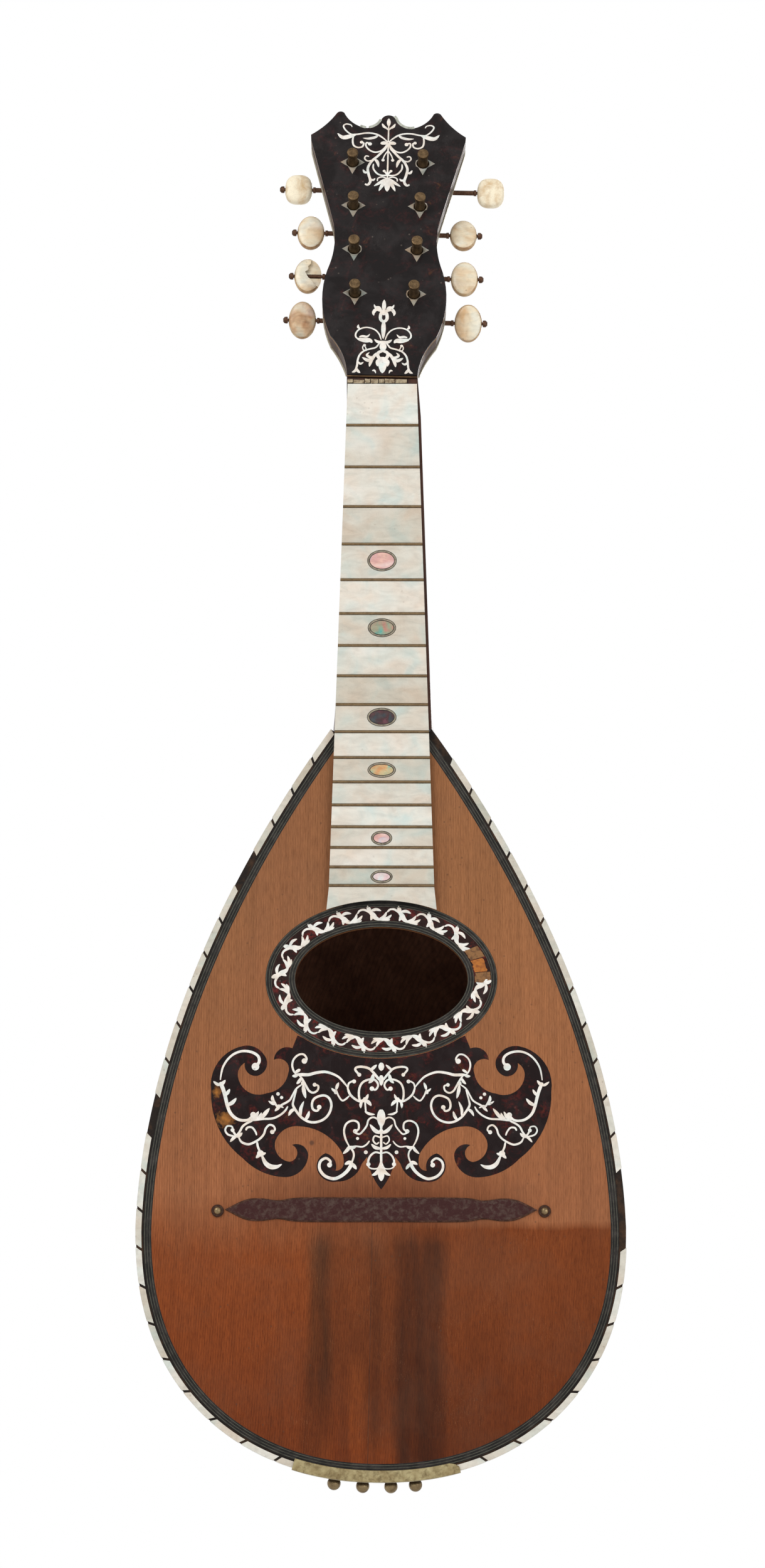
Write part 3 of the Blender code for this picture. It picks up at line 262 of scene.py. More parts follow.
HEAD_TOP_INLAY = (
    (1.33, 0, 121.7, 0, 123.6, 0, 125.5),
    (0.58, 0.67, 2.7, 122.8, 2.3, 121.9, 1.2, 120.9, 0.1, 119.7),
    (0.92, 0.6, 120.4, 2, 121.4, 2.6, 122.8),
    (0.5, 0.58, 0, 122.1, 0, 119.7, 0, 116.9, 0, 113.5),
    (0.75, 0.58, 0.1, 113.4, 2, 115.4, 4.3, 117.1, 7, 117.9, 9.8, 117.9, 12.5, 117.3, 15.2, 117.1,
     16.8, 118.1, 18.2, 119.7, 18.8, 121.4, 17.6, 122.3, 15.8, 121.9, 15.2, 120.9),
    (1.67, 13.5, 117.2, 16.4, 116, 19.1, 115.6, 21.2, 117.6),
    (1, 4.3, 117, 5.5, 115.9, 8.2, 115.2, 10.6, 115.4),
    (0.75, 0.67, 14.5, 116.5, 14.8, 114, 14.3, 111.6, 12.5, 110.6, 10.7, 111.1, 10.2, 112.8),
    (0.71, 11.1, 113.3),
    (1.42, 3.2, 112.8, 1.6, 113.1, 0, 112.8),
    (1, 1, 2, 112.8, 0, 112.8),
    (0.75, 0.62, 0.4, 112.6, 1.4, 110.7, 3.1, 109, 5.5, 108.4, 7.8, 109.5, 9.2, 111.4, 9, 113.1),
    (0.83, 7.6, 112.5),
    (0.92, 1.08, 0.2, 112.6, 1.2, 110.2, 2.3, 108.8, 4.3, 106.4, 6.2, 104.5, 7.4, 102.6, 8.2,
     100.2, 7.8, 97.3, 7, 94, 8, 92.1, 9.2, 92.5),
    (0.62, 0.58, 5.9, 104.6, 8.2, 103.9, 9.6, 105.1, 9.1, 106.4, 7.8, 106.2),
    (1.08, 5.5, 105, 4.3, 103.5, 3.7, 100.9),
    (0.67, 2, 104.5),
    (0.5, 0.5, 0.1, 109.2, 1.4, 106.9, 2, 105),
    (0.67, 0.75, 5.9, 102.6, 5.9, 100.2, 4.3, 97.8, 2.3, 96.9, 0.2, 97.2),
    (0.62, 1.4, 99.1),
    (0.58, 0.67, 0, 112.8, 0, 105, 0, 95.4),
    (2.08, 0, 95.9, 0, 92.1, 0, 88.9),
    (1.17, 0.4, 95.4, 2.7, 93.5, 5.5, 91.5),
    (1.25, 0.2, 95, 2, 92.1, 3.4, 89.1),
    (0.54, 0.54, 0.6, 95.7, 2.3, 96.1, 3.9, 95.4, 4.1, 94),
    (0.92, 8, 98.3, 9.4, 98.3, 10.2, 99.7),
    (0.83, 7.4, 95, 5.9, 94.5, 5, 95.4),
)

HEAD_FOOT_INLAY = (
    (1.7, 0, 30.4, 0, 33.4, 0, 36.1),
    (1.3, 0.9, 30.2, 1.9, 32.2, 3.4, 32.4, 4.1, 33.8),
    (1.5, 0.9, 30.3, 3, 31.4, 4.2, 29.9, 4, 28.4),
    (1.5, 1.6, 0, 25.4, 1.2, 26.6, 1.35, 28.3, 0.9, 30.2),
    (2.6, 0, 31.3, 0, 30.2, 0, 28.6),
    (1.9, 0, 25.9, 0, 21.9, 0, 17.2),
    (0.65, 0.85, 0.8, 16.9, 1.1, 18, 1.7, 19.6, 3.1, 21.4, 5.3, 22.5, 7.7, 22.6, 9.9, 21.6, 11.1,
     19.8, 11, 18, 9.5, 16.8),
    (1, 9.6, 22.2, 10.3, 22.8, 10.1, 24),
    (1.1, 9.7, 18.1, 8.4, 18.5, 6.6, 18.3, 5.4, 19.6),
    (2.2, 10.4, 17.2, 7.6, 16.6, 5.4, 16.5, 4.4, 15.4),
    (1.4, -0.2, 16.2, 1.8, 15.8, 3.6, 17.1),
    (0.75, 1, 1.2, 15.6, 1.9, 14.6, 3, 13.2, 5.2, 12.5, 7.5, 11.6, 9.2, 9.8, 10, 7.4, 10.3, 4.4,
     10.8, 2.6, 11.6, 1.6),
    (1.16, 10.7, 3, 11.1, 1.9, 12.3, 1.3),
    (1.16, 10.6, 3.4, 9.8, 1.9, 8.9, 1.1),
    (0.55, 0.5, 6.6, 11.8, 7.9, 12.1, 8.2, 13.4, 7.8, 14.2),
    (0.6, 7.5, 14.2),
    (1, 10.2, 6.6, 9, 5.4, 7.7, 6.2),
    (2.9, 0, 15.9, 0, 13.4, 0, 11.4),
    (1.5, 1.7, 0, 11.6, 1.6, 11, 2.1, 9.6, 1.3, 8.2, 0, 7.9),
    (1.7, 1.1, 1.9, 10.6, 3.3, 9.4, 4, 8, 4.5, 6.8),
    (1.2, 3.2, 9, 5.1, 8.6, 6.4, 9.6, 5.4, 10.9),
    (1.6, 3.8, 8.2, 5.9, 7.1, 8.3, 8.5),
    (1.3, 4.1, 7.6, 4.9, 6, 5.3, 4.1),
    (3.6, 0, 8.8, 0, 5.2, 0, 1.1),
    (1.6, 0.6, 8, 2, 6.6, 2, 4.3),
    (0.8, 4.1, 2.2, 3.2, 2.4, 2.6, 1),
)

# One unit of the rosette's vine: x along the ring, y out across it
VINE_UNIT = (
    (0.8, 1.3, 7, 0.6, 6, 1.7, 4.4, 1.9, 2.7, 1, 1.4, 0),
    (1.7, 2.1, 0.6, 2.5, 2, 3, 3.4),
    (1.3, 1.9, 1.1, -0.2, 1.7, -2.2, 1.1),
    (2.1, 2.6, 1.1, 1.2, -0.2, 0, -1.7, -2, -2.6),
    (1.3, 1.7, -0.1, 1.6, -1.4, 2.1, -2.5),
    (1.4, -1.2, -2.3, -3.3, -1.2, -4.3, 0.8),
    (1.3, -2.4, -2.4, -4.8, -1.7, -6.3, -0.3),
    (1, -1.6, -2.5, -4.2, -2.8, -5.8, -2.2),
)

# Height of each end of the places where the edging is lost: (side, upper, lower)
LOST_EDGING = (
    (-1, -192.1, -207.6),
    (1, -141.0, -155.1),
    (-1, -290.5, -305.3),
    (1, -319.0, -346.0),
)

# Oval markers: (z of the centre, width, height, shell)
MARKERS = (
    (-74.9, 11.7, 8.8, "pink"),
    (-102.5, 11.2, 7.7, "green"),
    (-138.9, 11.6, 7.6, "dark"),
    (-160.2, 11.1, 6.3, "gold"),
    (-187.5, 8.3, 5.8, "pink"),
    (-202.9, 8.6, 5.2, "pale"),
)

# Points lost from the stars round the posts: (post, corner), with corner 0 on the right
BROKEN_POINTS = (("right_4", 2), ("right_3", 0), ("left_2", 0), ("right_1", 2))

# What is broken out of the second disc on the left
BROKEN_DISC = (
    (-1.2, 1.5), (0.2, 2.4), (0.0, 3.9), (1.1, 5.2), (1.5, 9), (9, 9), (9, -6), (4.4, -5.2),
    (2.6, -4.2), (1.4, -2.2), (0.2, -1.2), (-0.6, 0.2),
)

# Screws of the tuners' plate: half x and height of the pairs, and heights of the others
SIDE_SCREWS = ((18.5, 28.0), (19.6, 50.4), (18.8, 71.7), (22.6, 93.0), (27.0, 112.0), (12.0, 15.0))
MIDDLE_SCREWS = (30.0, 92.0, 119.0)


# Outlines


def arc(start, via, end, steps):
    """Points after start, on the circle through the three."""
    (ax, ay), (bx, by), (cx, cy) = start, via, end
    double = 2 * (ax * (by - cy) + bx * (cy - ay) + cx * (ay - by))
    squares = (ax * ax + ay * ay, bx * bx + by * by, cx * cx + cy * cy)
    ux = (squares[0] * (by - cy) + squares[1] * (cy - ay) + squares[2] * (ay - by)) / double
    uy = (squares[0] * (cx - bx) + squares[1] * (ax - cx) + squares[2] * (bx - ax)) / double
    radius = math.hypot(ax - ux, ay - uy)
    first = math.atan2(ay - uy, ax - ux)
    middle = (math.atan2(by - uy, bx - ux) - first) % math.tau
    turn = (math.atan2(cy - uy, cx - ux) - first) % math.tau
    if middle > turn:
        turn -= math.tau
    angles = [first + turn * k / steps for k in range(1, steps + 1)]
    return [(ux + radius * math.cos(a), uy + radius * math.sin(a)) for a in angles]


def trace(start, legs, steps=10):
    points = [start]
    for leg in legs:
        points += arc(points[-1], *leg, steps) if len(leg) == 2 else list(leg)
    return points


def mirrored(half):
    """A closed edge from its right half."""
    return half + [(-x, z) for x, z in reversed(half) if x > 1e-4]


def turn_side(a, b):
    """Unit vector a quarter turn clockwise from the way a to b runs."""
    length = math.hypot(b[0] - a[0], b[1] - a[1]) or 1
    return (b[1] - a[1]) / length, (a[0] - b[0]) / length


def inset(points, distance, closed=False):
    """The same edge, moved sideways: clockwise edges go inward."""
    count = len(points)
    moved = []
    for k, (x, z) in enumerate(points):
        if closed or 0 < k < count - 1:
            a = turn_side(points[k - 1], points[k])
            b = turn_side(points[k], points[(k + 1) % count])
            scale = distance / max(1 + a[0] * b[0] + a[1] * b[1], 0.5)
            moved.append((x + (a[0] + b[0]) * scale, z + (a[1] + b[1]) * scale))
        else:
            a = turn_side(points[0], points[1]) if k == 0 else turn_side(points[-2], points[-1])
            moved.append((x + a[0] * distance, z + a[1] * distance))
    return moved


def outline_half_width(z):
    """The body's half width above its widest place."""
    return BODY_HALF * (1 - ((z + 342.1) / 225.5) ** 1.843) ** 0.975


def tail_z(x):
    """The body's lower edge, a superellipse below its widest place."""
    power = 2 / TAIL_POWER_X
    return BODY_WIDEST_Z - TAIL_REACH * (1 - (abs(x) / BODY_HALF) ** power) ** (1 / TAIL_POWER_Z)


def body_edge(top_z=JOINT_Z, upper=72, lower=60):
    """The outline from the neck joint down the right side, round the tail and up the left."""
    right = []
    for k in range(upper):
        z = top_z + (BODY_WIDEST_Z - top_z) * k / upper
        right.append((outline_half_width(z), z))
    for k in range(lower + 1):
        turn = math.pi / 2 * k / lower
        x = BODY_HALF * max(math.cos(turn), 0) ** TAIL_POWER_X
        right.append((x, BODY_WIDEST_Z - TAIL_REACH * math.sin(turn) ** (2 / TAIL_POWER_Z)))
    right[-1] = (0.0, right[-1][1])
    return mirrored(right)


def ellipse(half_axes, centre_z, margin=0.0, steps=120):
    a, b = half_axes[0] + margin, half_axes[1] + margin
    turns = [math.tau * k / steps for k in range(steps)]
    return [(a * math.cos(t), centre_z + b * math.sin(t)) for t in turns]


def cant(z):
    """How far behind y = 0 the front of the soundboard lies."""
    return max(0.0, (CANT_Z - z) * CANT_SLOPE)


def guard_edge():
    a, b = (half + 0.2 for half in ROSETTE_OUTER)
    steps = 16
    xs = [GUARD_START[0] * k / steps for k in range(steps)]
    top = [(x, ROSETTE_Z - b * math.sqrt(1 - (x / a) ** 2)) for x in xs]
    return mirrored(top + trace(GUARD_START, GUARD_LEGS))


def board_half_width(z):
    return BOARD_HALF_NUT - BOARD_TAPER * (z - BOARD_TOP_Z)


def fret_z(number, scale_length=330.0):
    """Equal temperament: each fret takes a twelfth of an octave off the string."""
    return -scale_length * (1 - 2 ** (-number / 12))


def smooth_path(points, steps=5):
    """A curve through the points, with its tangent taken from their neighbours."""
    if len(points) < 3:
        return list(points)
    path = []
    last = len(points) - 1
    for k in range(last):
        p0, p1, p2, p3 = (points[min(max(k + n, 0), last)] for n in (-1, 0, 1, 2))
        for step in range(steps):
            t = step / steps
            path.append(
                tuple(
                    0.5 * (2 * b + (c - a) * t + (2 * a - 5 * b + 4 * c - d) * t * t)
                    + 0.5 * (3 * b - a - 3 * c + d) * t**3
                    for a, b, c, d in zip(p0, p1, p2, p3)
                )
            )
    return path + [points[-1]]


# Meshes, in millimetres until a piece is finished


def prism(edge, front, back):
    bm = bmesh.new()
    face = bm.faces.new([bm.verts.new((x, front, z)) for x, z in edge])
    made = bmesh.ops.extrude_face_region(bm, geom=[face])["geom"]
    moved = [item for item in made if isinstance(item, bmesh.types.BMVert)]
    bmesh.ops.translate(bm, verts=moved, vec=(0, back - front, 0))
    return bm


def loft(rings, caps=True, closed=True):
    """Skins between rings of points. A ring of one point closes to a tip."""
    bm = bmesh.new()
    rows = [[bm.verts.new(point) for point in ring] for ring in rings]
    for near, far in zip(rows, rows[1:]):
        sides = max(len(near), len(far))
        for k in range(sides if closed else sides - 1):
            after = (k + 1) % sides
            corners = [near[k % len(near)], near[after % len(near)]]
            corners += [far[after % len(far)], far[k % len(far)]]
            bm.faces.new(list(dict.fromkeys(corners)))
    if caps:
        for row in (rows[0], rows[-1]):
            if len(row) > 2:
                bm.faces.new(row)
    return bm


def ring_plate(outer, inner, front, back):
    rings = []
    for edge, y in ((outer, front), (outer, back), (inner, back), (inner, front), (outer, front)):
        rings.append([(x, y, z) for x, z in edge])
    bm = loft(rings, caps=False)
    bmesh.ops.remove_doubles(bm, verts=bm.verts, dist=1e-4)
    return bm


def strip(edge, section):
    """A strip along an open edge. The section's points are (inward from the edge, y)."""
    rows = [[(x, y, z) for x, z in inset(edge, inward)] for inward, y in section]
    return loft(list(zip(*rows)))


def circle(radius, steps, along, axis="Y"):
    points = []
    for k in range(steps):
        turn = math.tau * k / steps
        c, s = radius * math.cos(turn), radius * math.sin(turn)
        points.append({"X": (along, c, s), "Y": (c, along, s), "Z": (c, s, along)}[axis])
    return points


def turned(profile, steps=24, axis="Y"):
    """A turned piece from (radius, along) pairs. A radius of 0 closes to a tip."""
    rings = []
    for radius, along in profile:
        ring = circle(radius, steps, along, axis)
        rings.append(ring if radius > 0 else ring[:1])
    return loft(rings)


def joined(parts):
    """One bmesh that holds several. A part may come with the matrix that moves it."""
    bm = bmesh.new()
    for part in parts:
        if isinstance(part, tuple):
            part, matrix = part
            part.transform(matrix)
        bmesh.ops.recalc_face_normals(part, faces=part.faces)
        mesh = bpy.data.meshes.new("part")
        part.to_mesh(mesh)
        part.free()
        bm.from_mesh(mesh)
        bpy.data.meshes.remove(mesh)
    return bm


def shift(x=0.0, y=0.0, z=0.0):
    return Matrix.Translation((x, y, z))


def split_at(bm, point, normal, **sides):
    everything = bm.verts[:] + bm.edges[:] + bm.faces[:]
    bmesh.ops.bisect_plane(bm, geom=everything, plane_co=point, plane_no=normal, **sides)


def folded(bm):
    """Bends a flat solid back along the soundboard's fold."""
    split_at(bm, (0, 0, CANT_Z), (0, 0, 1))
    for vert in bm.verts:
        vert.co.y += cant(vert.co.z)
    return bm


def ribbon(path, widths, proud, depth):
    """A flat shape along a path of (x, z), as wide as widths says, with its face at y = -proud."""
    edge = 0.4 * proud
    section = ((-1, depth), (-1, -edge), (-0.55, -proud), (0.55, -proud), (1, -edge), (1, depth))
    rings = []
    for k, (x, z) in enumerate(path):
        nx, nz = turn_side(path[max(k - 1, 0)], path[min(k + 1, len(path) - 1)])
        half = widths[k] / 2
        rings.append([(x + nx * half * side, y, z + nz * half * side) for side, y in section])
    return loft(rings)


def inlay_shapes(entries, fat, proud=0.08, depth=0.3, both_halves=True, top=0, down=False):
    """Stems, leaves and dots of shell, and their mirror images in x.

    Where both halves are made, the entries' x grows to the left. Their z is counted from top.
    A stem that ends near a dot runs on into it. Shapes on the axis aren't mirrored. Each shape
    stands at its own height, so that none lies level with one that it crosses.
    """
    x_way, z_way = -1 if both_halves else 1, -1 if down else 1
    shapes, central, outlines = [], [], []
    for entry in entries:
        widths = 2 - len(entry) % 2
        points = zip(entry[widths::2], entry[widths + 1 :: 2])
        outlines.append((entry[:widths], [(x_way * x, top + z_way * z) for x, z in points]))
    dots = [knots[0] for _, knots in outlines if len(knots) == 1]
    for order, (ends, knots) in enumerate(outlines):
        height = proud * (1 - 0.4 * (order * 0.382 % 1))
        if len(knots) == 1:
            (radius,), ((x, z),) = ends, knots
            rim = (radius * 0.8, -height), (radius, -0.3 * height), (radius, depth)
            dot = turned(((0, -height), *rim), 14)
            dot.transform(shift(x, 0, z))
            (central if x == 0 else shapes).append(dot)
            continue
        stem = len(ends) == 2
        on_axis = all(x == 0 for x, _ in knots)
        hooked = [False, False]
        for side in (0, 1) if stem and not on_axis else ():
            near = [dot for dot in dots if 0.3 < math.dist(dot, knots[-side]) < 2.8]
            if near:
                nearest = min(near, key=lambda dot: math.dist(dot, knots[-side]))
                knots.insert(side * len(knots), nearest)
                hooked[side] = True
        path = smooth_path(knots)
        widths = []
        for k in range(len(path)):
            t = k / (len(path) - 1)
            if stem:
                shares = (1 if hook else way for hook, way in zip(hooked, (t, 1 - t)))
                tip = min(1.0, *(0.6 + 3 * share for share in shares))
                widths.append(fat * (ends[0] + (ends[1] - ends[0]) * t) * tip)
            else:
                swell = math.sin(math.pi * min(t * 0.92 + 0.08, 1)) ** 0.8
                widths.append(max(fat * 1.15 * ends[0] * swell, 0.06))
        (central if on_axis else shapes).append(ribbon(path, widths, height, depth))
    if both_halves:
        across = Matrix.Scale(-1, 4, (1, 0, 0)) @ shift(0, 0.01, 0)
        shapes = [half for bm in shapes for half in (bm.copy(), (bm, across))]
    return joined(shapes + central)


def link(name, data):
    made = bpy.data.objects.new(name, data)
    bpy.context.scene.collection.objects.link(made)
    return made


def link_mesh(name, bm, *finishes):
    """An object from a bmesh, which is used up."""
    mesh = bpy.data.meshes.new(name)
    bm.to_mesh(mesh)
    bm.free()
    for finish in finishes:
        mesh.materials.append(finish)
    return link(name, mesh)


def shade(piece, angle=35):
    """Smooth faces, with sharp edges where they meet at more than the angle in degrees."""
    piece.data.shade_smooth()
    piece.data.set_sharp_from_angle(angle=math.radians(angle))


def make_object(name, bm, *finishes, angle=35):
    bmesh.ops.recalc_face_normals(bm, faces=bm.faces)
    made = link_mesh(name, bm, *finishes)
    shade(made, angle)
    return made


def bake(piece):
    """Takes the modifiers' result as the piece's own plain mesh."""
    bpy.context.view_layer.update()
    graph = bpy.context.evaluated_depsgraph_get()
    mesh = bpy.data.meshes.new_from_object(piece.evaluated_get(graph))
    piece.modifiers.clear()
    piece.data = mesh
    return piece


def modify(piece, kind, **settings):
    modifier = piece.modifiers.new(kind.lower(), kind)
    for key, value in settings.items():
        setattr(modifier, key, value)


def cut(piece, cutter_mesh):
    """Cuts solids, given as one bmesh, out of a piece."""
    cutter = make_object("cutter", cutter_mesh)
    modify(piece, "BOOLEAN", operation="DIFFERENCE", solver="EXACT", object=cutter)
    bake(piece)
    bpy.data.objects.remove(cutter, do_unlink=True)
    return piece


def finished(piece, slot, *replaces, body="instrument", matrix=None):
    """Puts a piece at its size and place, and gives it to its body."""
    piece.data.transform((matrix or Matrix.Identity(4)) @ Matrix.Scale(MM, 4))
    piece.data.name = piece.name
    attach(piece, body)
    if replaces:
        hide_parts(*replaces)


# Node trees


class Wire:
    """A node's output. Sums with it add maths nodes to its tree."""

    def __init__(self, socket):
        self.socket = socket

    def __add__(self, other):
        return maths("ADD", self, other)

    def __sub__(self, other):
        return maths("SUBTRACT", self, other)

    def __mul__(self, other):
        return maths("MULTIPLY", self, other)

    def __truediv__(self, other):
        return maths("DIVIDE", self, other)

    def __rtruediv__(self, other):
        return maths("DIVIDE", other, self)

    def __abs__(self):
        return maths("ABSOLUTE", self)


def feed(socket, value):
    """Links an output to a node's input, or gives the input its own value."""
    if isinstance(value, Wire):
        socket.id_data.links.new(value.socket, socket)
    elif socket.type == "RGBA" and len(value) == 3:
        socket.default_value = (*value, 1)
    else:
        socket.default_value = value


def node(kind, inputs=(), tree=None, **settings):
    """Adds a node to its inputs' tree. Gives its outputs by name and by number."""
    values = dict(inputs)
    if tree is None:
        tree = next(value.socket.id_data for value in values.values() if isinstance(value, Wire))
    made = tree.nodes.new(kind)
    for key, value in settings.items():
        setattr(made, key, value)
    for key, value in values.items():
        feed(made.inputs[key], value)
    outputs = {}
    for k, socket in enumerate(made.outputs):
        outputs[k] = Wire(socket)
        outputs.setdefault(socket.name, outputs[k])
    return outputs


def maths(operation, *values):
    return node("ShaderNodeMath", enumerate(values), operation=operation)[0]


def vectors(operation, *values):
    return node("ShaderNodeVectorMath", enumerate(values), operation=operation)[0]


def scaled(vector, factor):
    return node("ShaderNodeVectorMath", {0: vector, "Scale": factor}, operation="SCALE")[0]


def in_millimetres(vector):
    return scaled(vector, 1 / MM)


def length(vector):
    return node("ShaderNodeVectorMath", {0: vector}, operation="LENGTH")["Value"]


def split(vector):
    return node("ShaderNodeSeparateXYZ", {"Vector": vector})


def combined(**parts):
    return node("ShaderNodeCombineXYZ", parts)[0]


def ramp(value, low, high, to_low=0.0, to_high=1.0):
    ends = {"From Min": low, "From Max": high, "To Min": to_low, "To Max": to_high}
    return node("ShaderNodeMapRange", {"Value": value, **ends})["Result"]


def mix(factor, a, b, blend="MIX"):
    sockets = {0: factor, 6: a, 7: b}
    return node("ShaderNodeMix", sockets, data_type="RGBA", blend_type=blend, clamp_factor=True)[2]


def layered(colour, *layers):
    """A colour with others over it, each with its share and perhaps a blend."""
    for share, *over in layers:
        colour = mix(share, colour, *over)
    return colour


def noise(where, scale, detail=3.0, rough=0.5, distortion=0.0):
    look = {"Scale": scale, "Detail": detail, "Roughness": rough, "Distortion": distortion}
    return node("ShaderNodeTexNoise", {"Vector": where, **look})["Fac"]


def stretched_noise(where, stretch, *settings):
    return noise(vectors("MULTIPLY", where, stretch), 1.0, *settings)


def new_tree(kind, name, inputs, outputs):
    """An empty node tree, its inputs' wires and its outputs' sockets."""
    tree = bpy.data.node_groups.new(name, kind)
    for way, sockets in (("INPUT", inputs), ("OUTPUT", outputs)):
        for label, socket_kind, *value in sockets:
            socket_type = "NodeSocket" + socket_kind
            socket = tree.interface.new_socket(label, in_out=way, socket_type=socket_type)
            if value:
                socket.default_value = value[0]
    return tree, node("NodeGroupInput", tree=tree), tree.nodes.new("NodeGroupOutput").inputs


def shader_group(name, values, outputs):
    """A shader group with a place, its own values and a seed."""
    inputs = [("Vector", "Vector"), *values, ("Seed", "Float", 0.0)]
    return new_tree("ShaderNodeTree", name, inputs, outputs)


def build_grain_group():
    """Wood: fine fibres, growth lines and slow changes of colour, along Z after the mapping."""
    tree, given, result = shader_group(
        "Wood grain",
        (("Line spacing", "Float", 1.0), ("Figure", "Float", 0.5)),
        (("Tone", "Float"), ("Lines", "Float"), ("Height", "Float")),
    )
    seed = given["Seed"]
    moved = vectors("ADD", in_millimetres(given["Vector"]), combined(X=seed, Z=seed))
    slow = stretched_noise(moved, (0.06, 0.06, 0.006), 2.0)
    fibre = stretched_noise(moved, (3.2, 3.2, 0.05), 3.0, 0.6)
    streak = stretched_noise(moved, (0.5, 0.5, 0.011), 3.0, 0.55)
    place = split(moved)
    bent = place["X"] + place["Y"] * 0.7 + slow * (given["Figure"] * 14.0)
    wave = maths("FRACT", bent / given["Line spacing"])
    lines = ramp(abs(wave - 0.5), 0.26, 0.5) * ramp(fibre, 0.3, 0.6)
    feed(result["Tone"], ramp(streak * 0.6 + slow * 0.4, 0.34, 0.66))
    feed(result["Lines"], lines)
    feed(result["Height"], fibre - lines * 0.5)
    return tree


def build_wear_group():
    """Dirt and rubbing: soft patches, small specks and fine crossing scratches."""
    tree, given, result = shader_group(
        "Wear and dirt",
        (("Patch size", "Float", 8.0),),
        (("Patches", "Float"), ("Specks", "Float"), ("Scratches", "Float")),
    )
    seed = given["Seed"]
    moved = vectors("ADD", in_millimetres(given["Vector"]), combined(X=seed, Y=seed))
    patches = noise(scaled(moved, 1.0 / given["Patch size"]), 1.0, 4.0, 0.6, 0.4)
    feed(result["Patches"], ramp(patches, 0.45, 0.68))
    dots = node("ShaderNodeTexVoronoi", {"Vector": moved, "Scale": 0.32})["Distance"]
    feed(result["Specks"], ramp(dots, 0.16, 0.08) * ramp(noise(moved, 0.11, 2.0), 0.52, 0.6))
    scratches = []
    for turn, squeeze in ((0.5, 0.05), (-0.9, 0.04)):
        lay = {"Vector": moved, "Rotation": (0, turn, 0), "Scale": (1.6, 1.6, squeeze)}
        fine = noise(node("ShaderNodeMapping", lay)[0], 1.0, 1.0)
        scratches.append(ramp(abs(fine - 0.5), 0.006, 0.0))
    gate = ramp(noise(moved, 0.06, 2.0), 0.5, 0.62)
    feed(result["Scratches"], maths("MAXIMUM", *scratches) * gate)
    return tree


def build_shell_group():
    """Mother of pearl: silky bands, a slow drift of hue and cloudy growth edges."""
    tree, given, result = shader_group(
        "Pearl layers",
        (
            ("Base", "Color", (0.8, 0.77, 0.7, 1)),
            ("Warm", "Color", (0.82, 0.7, 0.6, 1)),
            ("Cool", "Color", (0.66, 0.74, 0.72, 1)),
            ("Band size", "Float", 4.0),
            ("Contrast", "Float", 0.3),
        ),
        (("Colour", "Color"), ("Height", "Float")),
    )
    seed, contrast = given["Seed"], given["Contrast"]
    moved = vectors("ADD", in_millimetres(given["Vector"]), combined(X=seed, Z=seed))
    sized = scaled(moved, 1.0 / given["Band size"])
    lay = {"Vector": sized, "Rotation": (0, 0.5, 0), "Scale": (0.45, 1.0, 1.3)}
    leaning = node("ShaderNodeMapping", lay)[0]
    silk = noise(leaning, 1.0, 4.0, 0.6, 1.2)
    drift = noise(sized, 0.35, 2.0, 0.5, 0.6)
    cells = node("ShaderNodeTexVoronoi", {"Vector": leaning, "Scale": 0.4}, feature="SMOOTH_F1")
    hue = given["Base"]
    for side, high in (("Warm", 0.72), ("Cool", 0.28)):
        hue = mix(ramp(drift, 0.48, high) * (contrast * 2.2), hue, given[side])
    colour = layered(
        hue,
        (ramp(silk, 0.4, 0.75) * contrast, vectors("MULTIPLY", hue, (0.55, 0.56, 0.55))),
        (ramp(cells["Distance"], 0.55, 0.9) * contrast, (0.98, 0.97, 0.94)),
    )
    feed(result["Colour"], colour)
    feed(result["Height"], silk)
    return tree


def geometry_tree(name, *inputs):
    """An empty geometry tree from points to a dressed shape, and its inputs' wires."""
    geometry = ("Geometry", "Geometry")
    inputs = (geometry, *inputs, ("Finish", "Material"))
    tree, given, result = new_tree("GeometryNodeTree", name, inputs, (geometry,))
    return tree, given, result[0]


def geometry_of(wire):
    return node("GeometryNodeObjectInfo", {"Object": wire})["Geometry"]


def copies_on(points, shape, **settings):
    inputs = {"Points": points, "Instance": shape, **settings}
    return node("GeometryNodeInstanceOnPoints", inputs)[0]


def realized(copies):
    return node("GeometryNodeRealizeInstances", {"Geometry": copies})[0]


def position(tree):
    return split(node("GeometryNodeInputPosition", tree=tree)[0])


def moved_to(geometry, place):
    return node("GeometryNodeSetPosition", {"Geometry": geometry, "Position": place})[0]


def dressed(geometry, finish):
    return node("GeometryNodeSetMaterial", {"Geometry": geometry, "Material": finish})[0]


